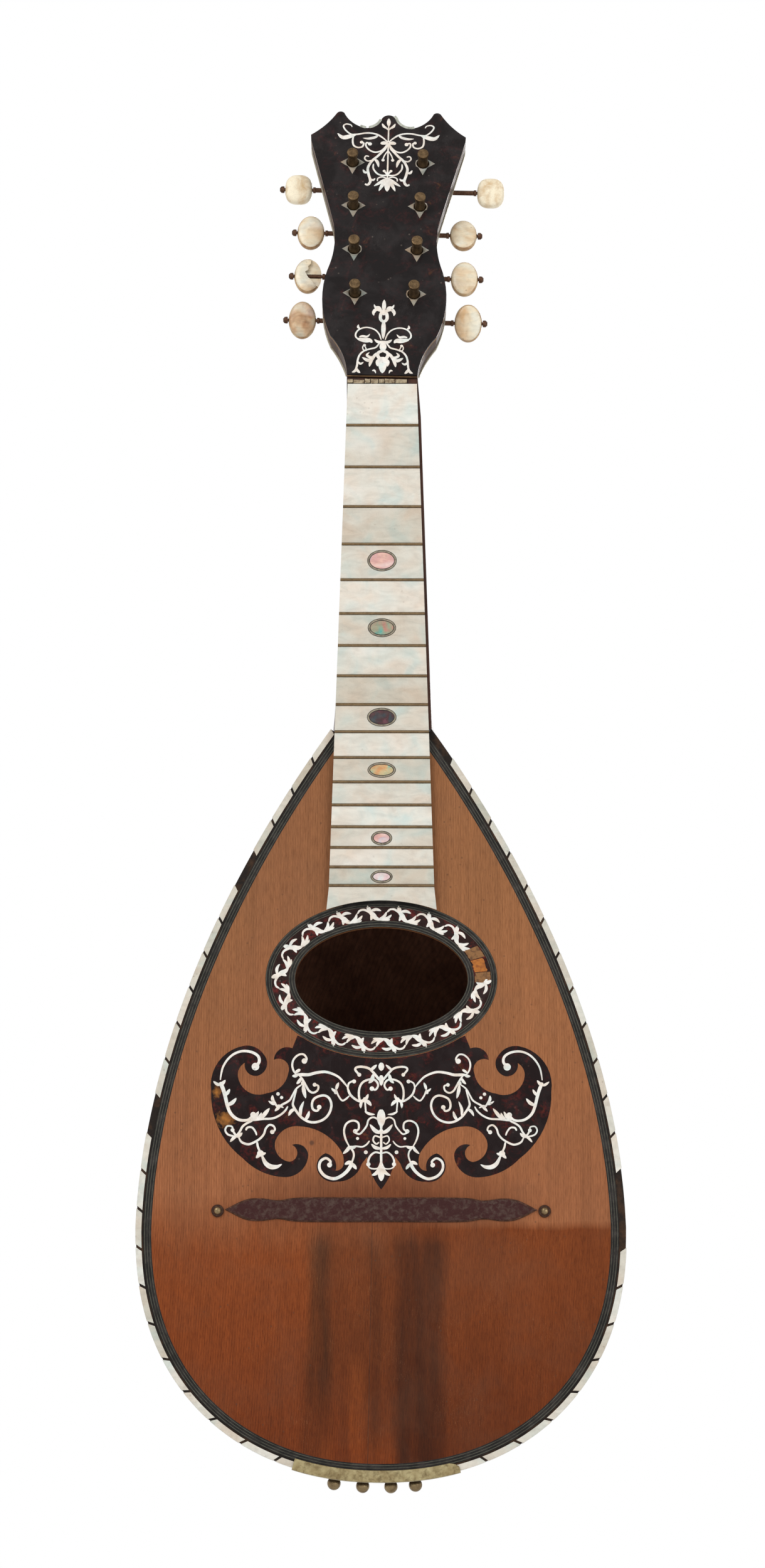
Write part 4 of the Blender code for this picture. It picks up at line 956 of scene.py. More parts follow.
def build_row_tree():
    """Copies of a shape along an edge, bent to follow it and the soundboard's fold.

    The tree starts from points whose x says how far along the edge each copy stands. In the
    shape x runs along the edge, z across it and y is its depth.
    """
    tree, given, result = geometry_tree(
        "Row along an edge",
        ("Shape", "Object"),
        ("Edge", "Object"),
        ("Slant", "Float", 0.0),
        ("Fold height", "Float", CANT_Z),
        ("Fold slope", "Float", CANT_SLOPE),
        ("Seed", "Int", 7),
    )
    copies = copies_on(given["Geometry"], geometry_of(given["Shape"]))
    chance = node("FunctionNodeRandomValue", {"Seed": given["Seed"]}, data_type="FLOAT")[1]
    stored = {"Geometry": copies, "Name": "shade", "Value": chance}
    kept_tone = {"domain": "INSTANCE", "data_type": "FLOAT"}
    shades = node("GeometryNodeStoreNamedAttribute", stored, **kept_tone)[0]
    place = position(tree)
    along = place["X"] + place["Z"] * given["Slant"]
    walk = {"Curves": geometry_of(given["Edge"]), "Length": along}
    sample = node("GeometryNodeSampleCurve", walk, mode="LENGTH")
    way = split(sample["Tangent"])
    across = scaled(combined(X=way["Z"], Z=way["X"] * -1.0), place["Z"])
    flat = vectors("ADD", sample["Position"], across)
    below = maths("MAXIMUM", given["Fold height"] - split(flat)["Z"], 0.0)
    depth = combined(Y=place["Y"] + below * given["Fold slope"])
    bent = moved_to(realized(shades), vectors("ADD", flat, depth))
    feed(result, dressed(bent, given["Finish"]))
    return tree


def build_fret_tree():
    """Bars at the places that equal temperament gives, each as wide as the board is there."""
    tree, given, result = geometry_tree(
        "Frets",
        ("Bar", "Object"),
        ("Count", "Int", 17),
        ("String length", "Float", 330.0),
        ("Half width", "Float", BOARD_HALF_NUT),
        ("Taper", "Float", BOARD_TAPER),
        ("Top", "Float", BOARD_TOP_Z),
    )
    line = node("GeometryNodeMeshLine", {"Count": given["Count"], "Offset": (0, 0, 0)})[0]
    number = node("GeometryNodeInputIndex", tree=tree)[0] + 1.0
    height = given["String length"] * (maths("POWER", 2.0, number / -12.0) - 1.0)
    spread = moved_to(line, combined(Z=height))
    bars = realized(copies_on(spread, geometry_of(given["Bar"])))
    place = position(tree)
    half = given["Half width"] - given["Taper"] * (place["Z"] - given["Top"])
    fitted = moved_to(bars, combined(X=place["X"] * half, Y=place["Y"], Z=place["Z"]))
    feed(result, dressed(fitted, given["Finish"]))
    return tree


def build_scatter_tree():
    """Copies of a shape on points, each turned about Y by the point's own turn."""
    name = "Shapes on points"
    tree, given, result = geometry_tree(name, ("Shape", "Object"), ("Size", "Float", 1.0))
    own = {"Name": "turn"}
    turn = node("GeometryNodeInputNamedAttribute", own, tree=tree, data_type="FLOAT")[0]
    shape = geometry_of(given["Shape"])
    copies = copies_on(given["Geometry"], shape, Rotation=combined(Y=turn), Scale=given["Size"])
    feed(result, dressed(realized(copies), given["Finish"]))
    return tree


def tree_named(name, build):
    return bpy.data.node_groups.get(name) or build()


def grown(name, points, tree, values, turns=()):
    """A piece grown by a node tree from points. Shapes and edges it used are removed."""
    mesh = bpy.data.meshes.new(name)
    mesh.from_pydata(points, [], [])
    if turns:
        mesh.attributes.new("turn", "FLOAT", "POINT").data.foreach_set("value", turns)
    made = link(name, mesh)
    modify(made, "NODES", node_group=tree)
    for item in tree.interface.items_tree:
        if item.in_out == "INPUT" and item.name in values:
            made.modifiers[0][item.identifier] = values[item.name]
    bake(made)
    for value in values.values():
        if isinstance(value, bpy.types.Object):
            bpy.data.objects.remove(value, do_unlink=True)
    shade(made)
    return made


def edge_curve(name, points, closed=False):
    """A straight-segment curve in the plane y = 0, and its length."""
    data = bpy.data.curves.new(name, "CURVE")
    data.dimensions = "3D"
    spline = data.splines.new("POLY")
    spline.points.add(len(points) - 1)
    for point, (x, z) in zip(spline.points, points):
        point.co = (x, 0, z, 1)
    spline.use_cyclic_u = closed
    pairs = zip(points, points[1:] + (points[:1] if closed else []))
    return link(name, data), sum(math.dist(a, b) for a, b in pairs)


def joined_pieces(name, pieces):
    """One mesh from several, each of which keeps its finish."""
    bm = bmesh.new()
    finishes = []
    for piece in pieces:
        start = len(bm.faces)
        bm.from_mesh(piece.data)
        bm.faces.ensure_lookup_table()
        own = piece.data.materials[:]
        finishes += [finish for finish in own if finish not in finishes]
        for face in bm.faces[start:]:
            face.material_index = finishes.index(own[face.material_index])
        bpy.data.objects.remove(piece, do_unlink=True)
    return link_mesh(name, bm, *finishes)


# Finishes


def sizes():
    return bpy.context.scene.mandolin_sizes


def colour_of(key):
    return tuple(getattr(bpy.context.scene.mandolin_colours, key))


def dimmed(colour, factor):
    return tuple(factor * part for part in colour)


def blank_finish(name, roughness, metallic=0.0, sheen=0.22):
    """A new material, its shader's inputs and the place on the object."""
    made = bpy.data.materials.new(name)
    made.use_nodes = True
    shader = made.node_tree.nodes["Principled BSDF"].inputs
    shader["Specular IOR Level"].default_value = sheen
    shader["Roughness"].default_value = roughness
    shader["Metallic"].default_value = metallic
    return made, shader, node("ShaderNodeTexCoord", tree=made.node_tree)["Object"]


def use(name, build, inputs):
    """The outputs of a shader group that is placed in its inputs' tree."""
    return node("ShaderNodeGroup", inputs, node_tree=tree_named(name, build))


def grain_at(where, spacing, figure, seed):
    values = {"Vector": where, "Line spacing": spacing, "Figure": figure, "Seed": seed}
    return use("Wood grain", build_grain_group, values)


def wear_at(where, size, seed):
    values = {"Vector": where, "Patch size": size, "Seed": seed}
    return use("Wear and dirt", build_wear_group, values)


def dress(shader, colour, roughness, height, distance, strength):
    """Feeds a shader its colour, its roughness and the bump of a height."""
    relief = {"Height": height, "Distance": distance * MM, "Strength": strength}
    bump = node("ShaderNodeBump", relief)["Normal"]
    for key, value in (("Base Color", colour), ("Roughness", roughness), ("Normal", bump)):
        feed(shader[key], value)


def wood_finish(name, light, dark, spacing, figure, roughness, seed, lay=(0, 0, 0)):
    """Varnished or bare wood whose grain runs along Z, or along Z turned by lay."""
    made, shader, where = blank_finish(name, roughness)
    where = node("ShaderNodeMapping", {"Vector": where, "Rotation": lay})[0]
    grain = grain_at(where, spacing, figure, seed)
    wear = wear_at(where, 14.0, seed)
    colour = layered(
        mix(grain["Tone"], dark, light),
        (grain["Lines"] * 0.45, dimmed(dark, 0.45)),
        (wear["Patches"] * 0.35, dimmed(dark, 0.5)),
        (wear["Scratches"] * 0.4, tuple(min(1, 2.2 * c + 0.04) for c in light)),
    )
    rough = ramp(wear["Patches"], 0, 1, roughness, min(1, roughness + 0.2))
    dress(shader, colour, rough, grain["Height"], 0.05, 0.5)
    return made


def shell_finish(
    name, base, warm, cool, band, contrast, roughness, seed, dirtiness, by_piece=0.0
):
    """Mother of pearl, with dirt in its scratches. by_piece changes each copy's tone a little."""
    made, shader, where = blank_finish(name, roughness, sheen=0.4)
    if by_piece:
        shade = node("ShaderNodeAttribute", tree=made.node_tree, attribute_name="shade")["Fac"]
        where = vectors("ADD", where, combined(X=shade, Y=shade, Z=shade))
    values = {"Base": base, "Warm": warm, "Cool": cool, "Band size": band, "Contrast": contrast}
    inputs = {"Vector": where, **values, "Seed": seed}
    layers = use("Pearl layers", build_shell_group, inputs)
    wear = wear_at(where, 3.0, seed + 3)
    colour = layers["Colour"]
    if by_piece:
        tint = (1 - by_piece, 1 - 1.1 * by_piece, 1 - 1.3 * by_piece)
        colour = mix(shade, colour, mix(1.0, colour, tint, "MULTIPLY"))
    dirt = (0.16, 0.1, 0.06)
    for key, share in (("Patches", 0.45), ("Specks", 1.0), ("Scratches", 0.6)):
        colour = mix(wear[key] * (share * dirtiness), colour, dirt)
    rough = ramp(wear["Patches"], 0, 1, roughness, roughness + 0.25)
    dress(shader, colour, rough, layers["Height"], 0.04, 0.35)
    return made


def dark_shell_finish(name, base, flame, amount, roughness, seed, scuffs_and_sheen, patches=()):
    """Tortoiseshell: near black, with red and amber clouds, grey scuffs and specks of dust.

    Each of patches is an amber patch: its middle's x and z, and its reach in x and z.
    """
    made, shader, where = blank_finish(name, roughness, sheen=0.12)
    wear = wear_at(where, 9.0, seed)
    millimetres = in_millimetres(where)
    moved = vectors("ADD", millimetres, (seed, seed, 2 * seed))
    clouds = noise(moved, 0.16, 4.0, 0.62, 0.8)
    small = noise(moved, 0.8, 3.0, 0.6, 0.3)
    colour = layered(
        base,
        (ramp(clouds, 0.5, 0.66) * ramp(small, 0.38, 0.62) * amount, flame),
        (ramp(clouds, 0.66, 0.76) * (0.3 * amount), (0.3, 0.13, 0.03)),
    )
    for x, z, wide, high in patches:
        away = vectors("SUBTRACT", millimetres, (x, 0, z))
        away = length(vectors("MULTIPLY", away, (1 / wide, 0, 1 / high))) + small * 1.5
        colour = mix(ramp(away, 1.75, 0.85), colour, (0.31, 0.12, 0.025))
    # Grey patches: partly scuffed shell and partly painted sheen of the glossy face; then grey
    # scratches and specks of dust
    colour = layered(
        colour,
        (wear["Patches"] * (0.3 * scuffs_and_sheen), (0.16, 0.14, 0.14)),
        (wear["Scratches"] * (0.5 * scuffs_and_sheen), (0.3, 0.26, 0.24)),
        (wear["Specks"] * scuffs_and_sheen, (0.3, 0.24, 0.2)),
    )
    rough = ramp(wear["Patches"], 0, 1, roughness, roughness + 0.3)
    dress(shader, colour, rough, small, 0.03, 0.4)
    return made


def metal_finish(name, bright, dull, roughness, tarnish, seed, grit):
    """Old metal: brighter where it is rubbed, dull in patches whose closeness is grit."""
    made, shader, where = blank_finish(name, roughness, metallic=0.85)
    wear = wear_at(where, 2.2, seed)
    fine = noise(vectors("ADD", in_millimetres(where), (seed, seed, seed)), grit, 4.0, 0.6)
    colour = layered(
        bright,
        (ramp(fine, 0.3, 0.7) * (0.7 * tarnish), dull),
        (wear["Patches"] * (0.7 * tarnish), dimmed(dull, 0.6)),
        (wear["Scratches"] * 0.5, bright),
    )
    rough = ramp(fine, 0.3, 0.7, roughness - 0.1, roughness + 0.2)
    dress(shader, colour, rough, fine, 0.02, 0.3)
    return made


def plain_finish(name, base, other, size, roughness=0.5, bump=0.04):
    """Dyed wood, bone, glue or mastic: two tones in soft patches, with dirt and fine relief."""
    made, shader, where = blank_finish(name, roughness, sheen=0.12)
    wear = wear_at(where, size, 0.0)
    fine = noise(in_millimetres(where), 1.8, 4.0, 0.6)
    worn = mix(wear["Patches"], base, other)
    colour = mix(ramp(fine, 0.45, 0.75, 0, 0.35), worn, dimmed(base, 0.6))
    rough = ramp(fine, 0.3, 0.7, roughness - 0.08, roughness + 0.15)
    dress(shader, colour, rough, fine, bump, 0.5)
    return made


# A word in place of a colour is one of the panel's colours.
WOODS = {  # light, dark, line spacing, figure, roughness, seed, turn of the grain
    "Rosewood": ("rosewood", (0.022, 0.009, 0.006), 2.6, 0.7, 0.3, 11.0),
    "Dark walnut": ((0.075, 0.036, 0.02), (0.022, 0.011, 0.008), 1.8, 0.6, 0.5, 5.0),
    "Dark inside wood": ((0.32, 0.14, 0.08), (0.16, 0.065, 0.04), 2.0, 0.5, 0.8, 6.0),
    "Bare inside wood": (
        (0.33, 0.2, 0.1), (0.18, 0.1, 0.05), 1.6, 0.5, 0.75, 2.0, (0, math.pi / 2, 0)
    ),
}
SHELLS = {  # base, warm, cool, band size, contrast, roughness, seed, dirtiness, change by piece
    "Edging pearl": ("pearl", "pearl_warm", "pearl_cool", 4.0, 0.35, 0.22, 0.0, 0.4, 0.3),
    "Fingerboard pearl": ("pearl", "pearl_warm", "pearl_cool", 4.0, 0.42, 0.22, 2.0, 0.2, 0.26),
    "Inlay shell": ("inlay", (0.72, 0.6, 0.48), (0.62, 0.7, 0.66), 2.0, 0.35, 0.3, 0.0, 0.5),
    "Star shell": (
        (0.3, 0.28, 0.23), (0.34, 0.24, 0.15), (0.2, 0.24, 0.22), 2.0, 0.4, 0.35, 0.0, 0.8
    ),
    "Button shell": (
        (0.78, 0.66, 0.47), (0.64, 0.4, 0.2), (0.76, 0.74, 0.62), 3.0, 0.42, 0.25, 0.0, 0.4
    ),
    "Tan button shell": (
        (0.62, 0.42, 0.25), (0.4, 0.2, 0.09), (0.6, 0.52, 0.38), 2.6, 0.6, 0.3, 7.0, 0.6
    ),
    "Button rim": ((0.5, 0.33, 0.17), (0.3, 0.15, 0.06), (0.6, 0.5, 0.34), 2.0, 0.5, 0.3, 0.0, 0.6),
}
for shade_name, shades in {
    "pink": ((0.62, 0.34, 0.31), (0.72, 0.44, 0.36), (0.5, 0.42, 0.45)),
    "green": ((0.3, 0.3, 0.2), (0.5, 0.2, 0.16), (0.1, 0.36, 0.3)),
    "dark": ((0.05, 0.018, 0.02), (0.12, 0.03, 0.05), (0.03, 0.05, 0.06)),
    "gold": ((0.55, 0.45, 0.24), (0.62, 0.3, 0.12), (0.25, 0.42, 0.32)),
    "pale": ((0.7, 0.62, 0.6), (0.7, 0.5, 0.5), (0.55, 0.66, 0.66)),
}.items():
    SHELLS[f"Marker {shade_name} shell"] = (*shades, 1.6, 0.55, 0.2, 0.0, 0.2)
AMBER_PATCHES = ((-60.0, -297.5, 4.2, 3.4), (-63.4, -287.0, 1.8, 2.6))
DARK_SHELLS = {  # base, flame, amount of flame, roughness, seed, scuffs and painted sheen, amber patches
    "Tortoiseshell": ("tortoise", (0.07, 0.008, 0.007), 0.9, 0.2, 0.0, 0.08, AMBER_PATCHES),
    "Rosette shell": ((0.016, 0.006, 0.005), (0.16, 0.014, 0.012), 0.9, 0.2, 31.0, 0.16),
    "Head shell": ((0.009, 0.0068, 0.0068), (0.05, 0.012, 0.012), 0.5, 0.3, 50.0, 0.2),
}
METALS = {  # bright, dull, roughness, tarnish, seed, grit
    "Tarnished brass": ((0.17, 0.11, 0.055), (0.05, 0.03, 0.016), 0.45, 0.8, 0.0, 1.6),
    "Rubbed brass": ((0.26, 0.19, 0.1), (0.07, 0.042, 0.022), 0.27, 0.7, 3.0, 0.35),
    "Nickel silver": ((0.46, 0.42, 0.33), (0.27, 0.22, 0.14), 0.42, 0.5, 4.0, 0.14),
    "Brown steel": ((0.12, 0.065, 0.04), (0.05, 0.02, 0.012), 0.5, 0.8, 9.0, 1.6),
    "Worn tail strip": ((0.41, 0.35, 0.19), (0.17, 0.11, 0.045), 0.4, 1.0, 6.0, 0.3),
    "Old fret metal": ((0.22, 0.15, 0.08), (0.07, 0.04, 0.022), 0.38, 0.5, 2.0, 1.6),
    "Plate lines": ((0.16, 0.13, 0.08), (0.07, 0.05, 0.03), 0.6, 0.9, 0.0, 1.6),
}
PLAIN = {  # colour, colour of the patches, patch size, roughness, relief
    "Black mastic": ("black", (0.035, 0.03, 0.028), 5.0),
    "Pale line": ((0.095, 0.093, 0.07), (0.034, 0.03, 0.024), 3.0),
    "Edging core": ((0.013, 0.009, 0.007), (0.06, 0.03, 0.015), 7.0, 0.6),
    "Broken rosette": ((0.24, 0.12, 0.05), (0.1, 0.05, 0.028), 1.6, 0.7, 0.3),
    "Amber shell": ((0.4, 0.14, 0.03), (0.2, 0.06, 0.02), 1.5, 0.4),
    "Old glue": ((0.04, 0.012, 0.011), (0.075, 0.045, 0.036), 1.8, 0.55, 0.6),
    "Glue edge": ((0.05, 0.022, 0.014), (0.13, 0.06, 0.04), 1.5, 0.6, 0.3),
    "Dirty pin seat": ((0.035, 0.014, 0.009), (0.07, 0.04, 0.022), 1.0),
    "Nut residue": ((0.44, 0.36, 0.24), (0.16, 0.1, 0.055), 1.6, 0.8, 0.2),
    "Marker band": ((0.3, 0.26, 0.19), (0.12, 0.1, 0.075), 1.5),
    "Tan line": ((0.3, 0.18, 0.09), (0.14, 0.08, 0.05), 4.0, 0.6),
    "Pale edging": ((0.42, 0.43, 0.37), (0.22, 0.22, 0.18), 1.6),
    "Old bone": ((0.85, 0.76, 0.58), (0.6, 0.42, 0.23), 5.0, 0.35),
}
FINISHES = (
    (wood_finish, WOODS),
    (shell_finish, SHELLS),
    (dark_shell_finish, DARK_SHELLS),
    (metal_finish, METALS),
    (plain_finish, PLAIN),
)


def look(name):
    """A finish from the tables, made once."""
    made = bpy.data.materials.get(name)
    if made:
        return made
    build, table = next(row for row in FINISHES if name in row[1])
    return build(name, *(colour_of(v) if isinstance(v, str) else v for v in table[name]))


# Streaks down the soundboard: middle x, half width, soft edge, top z, bottom z, colour factor
STREAKS = (
    (-8.0, 13.0, 4.0, -336.0, -410.0, (0.71, 0.76, 0.85)),
    (-23.5, 2.2, 4.0, -337.0, -400.0, (0.5, 0.62, 0.8)),
    (-25.0, 3.0, 5.0, -385.0, -436.0, (0.75, 0.8, 0.9)),
    (-2.3, 1.0, 1.6, -339.0, -425.0, (0.78, 0.82, 0.9)),
    (15.0, 7.0, 5.0, -336.0, -440.0, (0.38, 0.41, 0.52)),
    (-8.7, 1.6, 2.6, -385.0, -436.0, (1.4, 1.45, 1.4)),
    (-20.6, 1.0, 2.0, -415.0, -436.0, (1.4, 1.5, 1.6)),
    (1.0, 4.0, 4.0, -414.0, -436.0, (1.35, 1.4, 1.4)),
    (-38.0, 9.0, 14.0, -150.0, -300.0, (0.88, 0.86, 0.9)),
)
KNOT = (-26.7, 0, -306.6)


def spruce():
    """The soundboard: close grain, a darker lower half, and stains below the bridge's place."""
    made, shader, where = blank_finish("Old spruce", 0.5, sheen=0.11)
    grain = grain_at(where, 0.95, 0.06, 0.0)
    wear = wear_at(where, 26.0, 21.0)
    millimetres = in_millimetres(where)
    place = split(millimetres)
    x, z = place["X"], place["Z"]
    wander = stretched_noise(millimetres, (0.12, 0.12, 0.025), 3.0)
    # lower: where the darker colour below the fold takes over, crisp on the right and soft on the
    # left
    crisp = ramp(z + wander * 3.0, -335.0, -338.5)
    soft = ramp(z + wander * 14.0, -319.0, -343.0)
    lower = soft + ramp(x, -5.0, 25.0) * (crisp - soft)

    high, low = colour_of("spruce"), colour_of("spruce_low")
    upper = mix(grain["Tone"], dimmed(high, 0.84), dimmed(high, 1.1))
    cooler = mix(1.0, upper, (1.04, 0.92, 0.94), "MULTIPLY")
    upper = mix(ramp(z, -210.0, -325.0), upper, cooler)
    bridge = vectors("ADD", millimetres, (0, 0, 330))
    near_bridge = length(vectors("MULTIPLY", bridge, (1 / 60, 0, 1 / 17))) + wander * 0.5
    upper = mix(ramp(near_bridge, 1.35, 0.55), upper, (0.53, 0.45, 0.42), "MULTIPLY")
    # Below the fold: darker, partly the wood's own tone and partly painted shade of the part that
    # turns down away from the lamps; darker still towards the right and towards the tail
    under = layered(
        mix(grain["Tone"], dimmed(low, 0.92), dimmed(low, 1.2)),
        (ramp(x, -35.0, 25.0), (0.78, 0.79, 0.78), "MULTIPLY"),
        (ramp(z, -355.0, -425.0), (0.66, 0.57, 0.46), "MULTIPLY"),
    )
    colour = mix(lower, upper, under)

    shaky = x + (wander - 0.5) * 6.0
    patchy = ramp(stretched_noise(millimetres, (0.3, 0.3, 0.012), 3.0), 0.3, 0.6, 0.7, 1.0)
    for middle, half_width, edge, top, bottom, stain in STREAKS:
        band = ramp(abs(shaky - middle), half_width + edge, half_width)
        fades = ramp(z, top, top - 10.0) * ramp(z, bottom - 14.0, bottom + 14.0)
        colour = mix(band * fades * patchy, colour, stain, "MULTIPLY")
    seam = ramp(abs(x + ramp(z, -340.0, -430.0, 3.4, 5.0)), 0.25, 0.08)
    ridged = ramp(x, 10.0, -40.0) * ramp(z, -230.0, -290.0)
    fibres = stretched_noise(millimetres, (2.4, 2.4, 0.22), 4.0, 0.7)
    knot = length(vectors("SUBTRACT", millimetres, KNOT))
    colour = layered(
        colour,
        (seam * 0.55, (0.05, 0.022, 0.012)),
        (ramp(fibres, 0.5, 0.72), (0.68, 0.62, 0.58), "MULTIPLY"),
        (ramp(fibres, 0.5, 0.28), (1.22, 1.24, 1.26), "MULTIPLY"),
        (grain["Lines"] * (ridged * 0.4 + 0.4), (0.55, 0.5, 0.5), "MULTIPLY"),
        (ramp(knot, 1.2, 0.6, 0, 0.7), (0.06, 0.03, 0.02)),
        (wear["Patches"] * 0.16, (0.12, 0.06, 0.035)),
        (wear["Scratches"] * 0.3, (0.36, 0.16, 0.07)),
        (wear["Specks"] * 0.5, (0.07, 0.035, 0.02)),
    )
    dress(shader, colour, ramp(grain["Tone"], 0, 1, 0.56, 0.44), grain["Height"], 0.06, 0.6)
    return made


def stave_finish():
    """Bowl staves: each its own dark tone from its number, with a pale line between."""
    made, shader, where = blank_finish("Bowl staves", 0.3, sheen=0.35)
    spot = node("ShaderNodeUVMap", tree=made.node_tree, uv_map="UVMap")[0]
    u = split(spot)["X"]
    number = maths("FLOOR", u)
    tone = node("ShaderNodeTexWhiteNoise", {"W": number}, noise_dimensions="1D")["Value"]
    grain = grain_at(vectors("ADD", where, combined(X=number, Y=number)), 2.4, 0.8, 3.0)
    wear = wear_at(where, 20.0, 8.0)
    colour = mix(grain["Tone"], (0.02, 0.008, 0.005), colour_of("rosewood"))
    redder = mix(1.0, colour, (1.7, 1.45, 1.3), "MULTIPLY")
    from_middle = abs(maths("FRACT", u) - 0.5)
    line = ramp(from_middle, 0.462, 0.47)
    colour = layered(
        colour,
        (tone * 0.6, redder),
        (grain["Lines"] * 0.6, (0.012, 0.006, 0.005)),
        (ramp(from_middle, 0.44, 0.462) * 0.7, (0.01, 0.006, 0.005)),
        (line, (0.36, 0.3, 0.2)),
        (wear["Scratches"] * 0.4, (0.16, 0.09, 0.06)),
        (wear["Patches"] * 0.3, (0.02, 0.012, 0.01)),
    )
    rough = ramp(wear["Patches"], 0, 1, 0.26, 0.46)
    dress(shader, colour, rough, grain["Height"] - line, 0.05, 0.5)
    return made


# Pieces


def make_bowl():
    """The staved bowl, its wall and the cap over the stave ends at the tail."""
    per_stave = 6
    across = int(sizes().staves) * per_stave
    wall_front = 2.9
    widest = 1 / 1.125
    half = inset(body_edge(upper=44, lower=34), 1.6)[:79]
    (x0, z0), (x1, z1) = half[:2]
    half.insert(0, (x0 + (x1 - x0) * (JOINT_Z - z0) / (z1 - z0), JOINT_Z - 0.02))
    tip_z = half[-1][1]

    def depth(z):
        if z > BOWL_DEEPEST_Z:
            return BOWL_DEPTH * (1 - ((z - BOWL_DEEPEST_Z) / 217) ** 1.8)
        share = min(1.0, (BOWL_DEEPEST_Z - z) / (BOWL_DEEPEST_Z - tip_z))
        return BOWL_DEPTH * (1 - share**2.3) ** 0.5

    def point(x, z, turn):
        c, s = math.cos(turn), max(math.sin(turn), 0)
        side = math.copysign(abs(c) ** widest, c)
        eased = CANT_SLOPE * 10 * math.log(1 + math.exp((CANT_Z - z) / 10))
        fold = cant(z) + (eased - cant(z)) * s
        return Vector((x * side, fold + wall_front + depth(z) * s**widest, z))

    rings = []
    for x, z in half[:-1]:
        ring = []
        for k in range(across + 1):
            stave, part = divmod(k, per_stave)
            here = point(x, z, math.pi * k / across)
            if part:
                joints = [point(x, z, math.pi * n * per_stave / across) for n in (stave, stave + 1)]
                here = joints[0].lerp(joints[1], part / per_stave).lerp(here, 0.45)
            ring.append(tuple(here))
        rings.append(ring)
    rings.append([(0, cant(tip_z) + wall_front, tip_z)])

    def skin(rows):
        bm = loft(rows, caps=False, closed=False)
        bm.verts.index_update()
        layer = bm.loops.layers.uv.new("UVMap")
        tip = len(bm.verts) - 1
        for face in bm.faces:
            corners = [vert.index for vert in face.verts]
            columns = [corner % (across + 1) for corner in corners if corner != tip]
            middle = sum(columns) / len(columns)
            for loop, corner in zip(face.loops, corners):
                column = middle if corner == tip else corner % (across + 1)
                loop[layer].uv = (column / per_stave, loop.vert.co.z / 100)
        bm.normal_update()
        if bm.faces[:][across // 2].normal.y < 0:
            bmesh.ops.reverse_faces(bm, faces=bm.faces)
        bm.normal_update()
        return bm

    inside = look("Dark inside wood")
    bowl = link_mesh("staved_bowl", skin(rings), stave_finish(), inside)
    modify(bowl, "SOLIDIFY", thickness=2.4, offset=-1, material_offset=1, material_offset_rim=0)
    bake(bowl)
    shade(bowl, 40)
    finished(bowl, "rosewood", "bowl")

    bm = skin(rings[45:])
    for vert in bm.verts:
        vert.co += vert.normal * 0.25
    rim = Vector((0, 1, CANT_SLOPE)).normalized()
    split_at(bm, (0, 6.4, CANT_Z), rim, clear_inner=True)
    deep, shallow = Vector((0, cant(tail_z(0)) + 36, tail_z(0))), Vector((0, 15.4, CANT_Z))
    lower = Vector((1, 0, 0)).cross(shallow - deep).normalized()
    if lower.y < 0:
        lower.negate()
    split_at(bm, deep, lower, clear_outer=True)
    cap = link_mesh("tail_cap_wood", bm, look("Dark walnut"))
    modify(cap, "SOLIDIFY", thickness=1.1, offset=1, use_even_offset=True)
    modify(cap, "BEVEL", width=0.3, segments=2, angle_limit=math.radians(50))
    bake(cap)
    shade(cap, 40)
    finished(cap, "walnut", "tail_cap")

    inner = ("rim_lining", "neck_block", "tail_block", "brace_upper", "brace_middle", "brace_lower")
    for name in inner:
        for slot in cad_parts[name].material_slots:
            slot.material = look("Bare inside wood")


def point_along(edge, distance):
    """The first point of an edge that lies at least the distance from its start."""
    run = 0.0
    for a, b in zip(edge, edge[1:]):
        run += math.dist(a, b)
        if run >= distance:
            break
    return b


def make_edging():
    """Pearl tiles over a dark core round the soundboard, with the places where they are lost."""
    edge = body_edge()
    core = ((0.25, 0.3), (3.7, 0.3), (3.7, 2.4), (1.3, 2.4), (1.3, 5.9), (0.25, 5.9))
    piece = make_object("edging_core", folded(strip(edge, core)), look("Edging core"))
    finished(piece, "black_wood", "pearl_edging")

    pitch = sizes().tile_length / MM
    long = pitch - sizes().tile_joint / MM
    section = ((0, 0.12), (0.12, 0), (2.3, 0), (2.3, 0.7), (0.85, 0.7), (0.85, 5.9), (0, 5.9))
    for side, way in (("right", 1), ("left", -1)):
        curve, round_body = edge_curve("outline", edge)
        places = []
        for k in range(int(round_body / 2 / pitch) + 1):
            along = pitch * (k + 0.42)
            if along > round_body / 2 - 4:
                continue
            if way < 0:
                along = round_body - along
            z = point_along(edge, along)[1]
            if not any(way == lost and low < z < high for lost, high, low in LOST_EDGING):
                places.append((along, 0, 0))
        rings = [[(long * (k / 8 - 0.5), y, w) for w, y in section] for k in range(9)]
        values = {
            "Shape": make_object("tile", loft(rings)),
            "Edge": curve,
            "Slant": 0.75 * way,
            "Fold height": CANT_Z,
            "Fold slope": CANT_SLOPE,
            "Seed": 5,
            "Finish": look("Edging pearl"),
        }
        tree = tree_named("Row along an edge", build_row_tree)
        finished(grown(f"pearl_tiles_{side}", places, tree, values), "pearl")


def make_purfling():
    """The black band inside the tiles, with its pale lines."""
    edge = body_edge()
    band = ((3.0, -0.03), (6.1, -0.03), (6.1, 0.25), (3.0, 0.25))
    base = make_object("purfling_band", folded(strip(edge, band)), look("Black mastic"))
    lines = []
    for inner, wide in ((3.4, 0.22), (4.4, 0.18), (5.4, 0.2)):
        section = ((inner, -0.07), (inner + wide, -0.07), (inner + wide, 0.4), (inner, 0.4))
        lines.append(folded(strip(edge, section)))
    lines = make_object("purfling_lines", joined(lines), look("Pale line"))
    finished(joined_pieces("purfling_lines_and_band", [base, lines]), "black_wood", "purfling")


def make_soundboard():
    """The spruce board with its oval hole, folded below the bridge's place."""
    outline = inset(body_edge(JOINT_Z - 0.3), 3.8)
    board = make_object("spruce_board", prism(outline, 0, 2.6), spruce())
    cut(board, prism(ellipse(ROSETTE_HOLE, ROSETTE_Z), -2, 5))
    bm = bmesh.new()
    bm.from_mesh(board.data)
    folded(bm).to_mesh(board.data)
    bm.free()
    board.data.shade_flat()
    finished(board, "spruce", "soundboard")


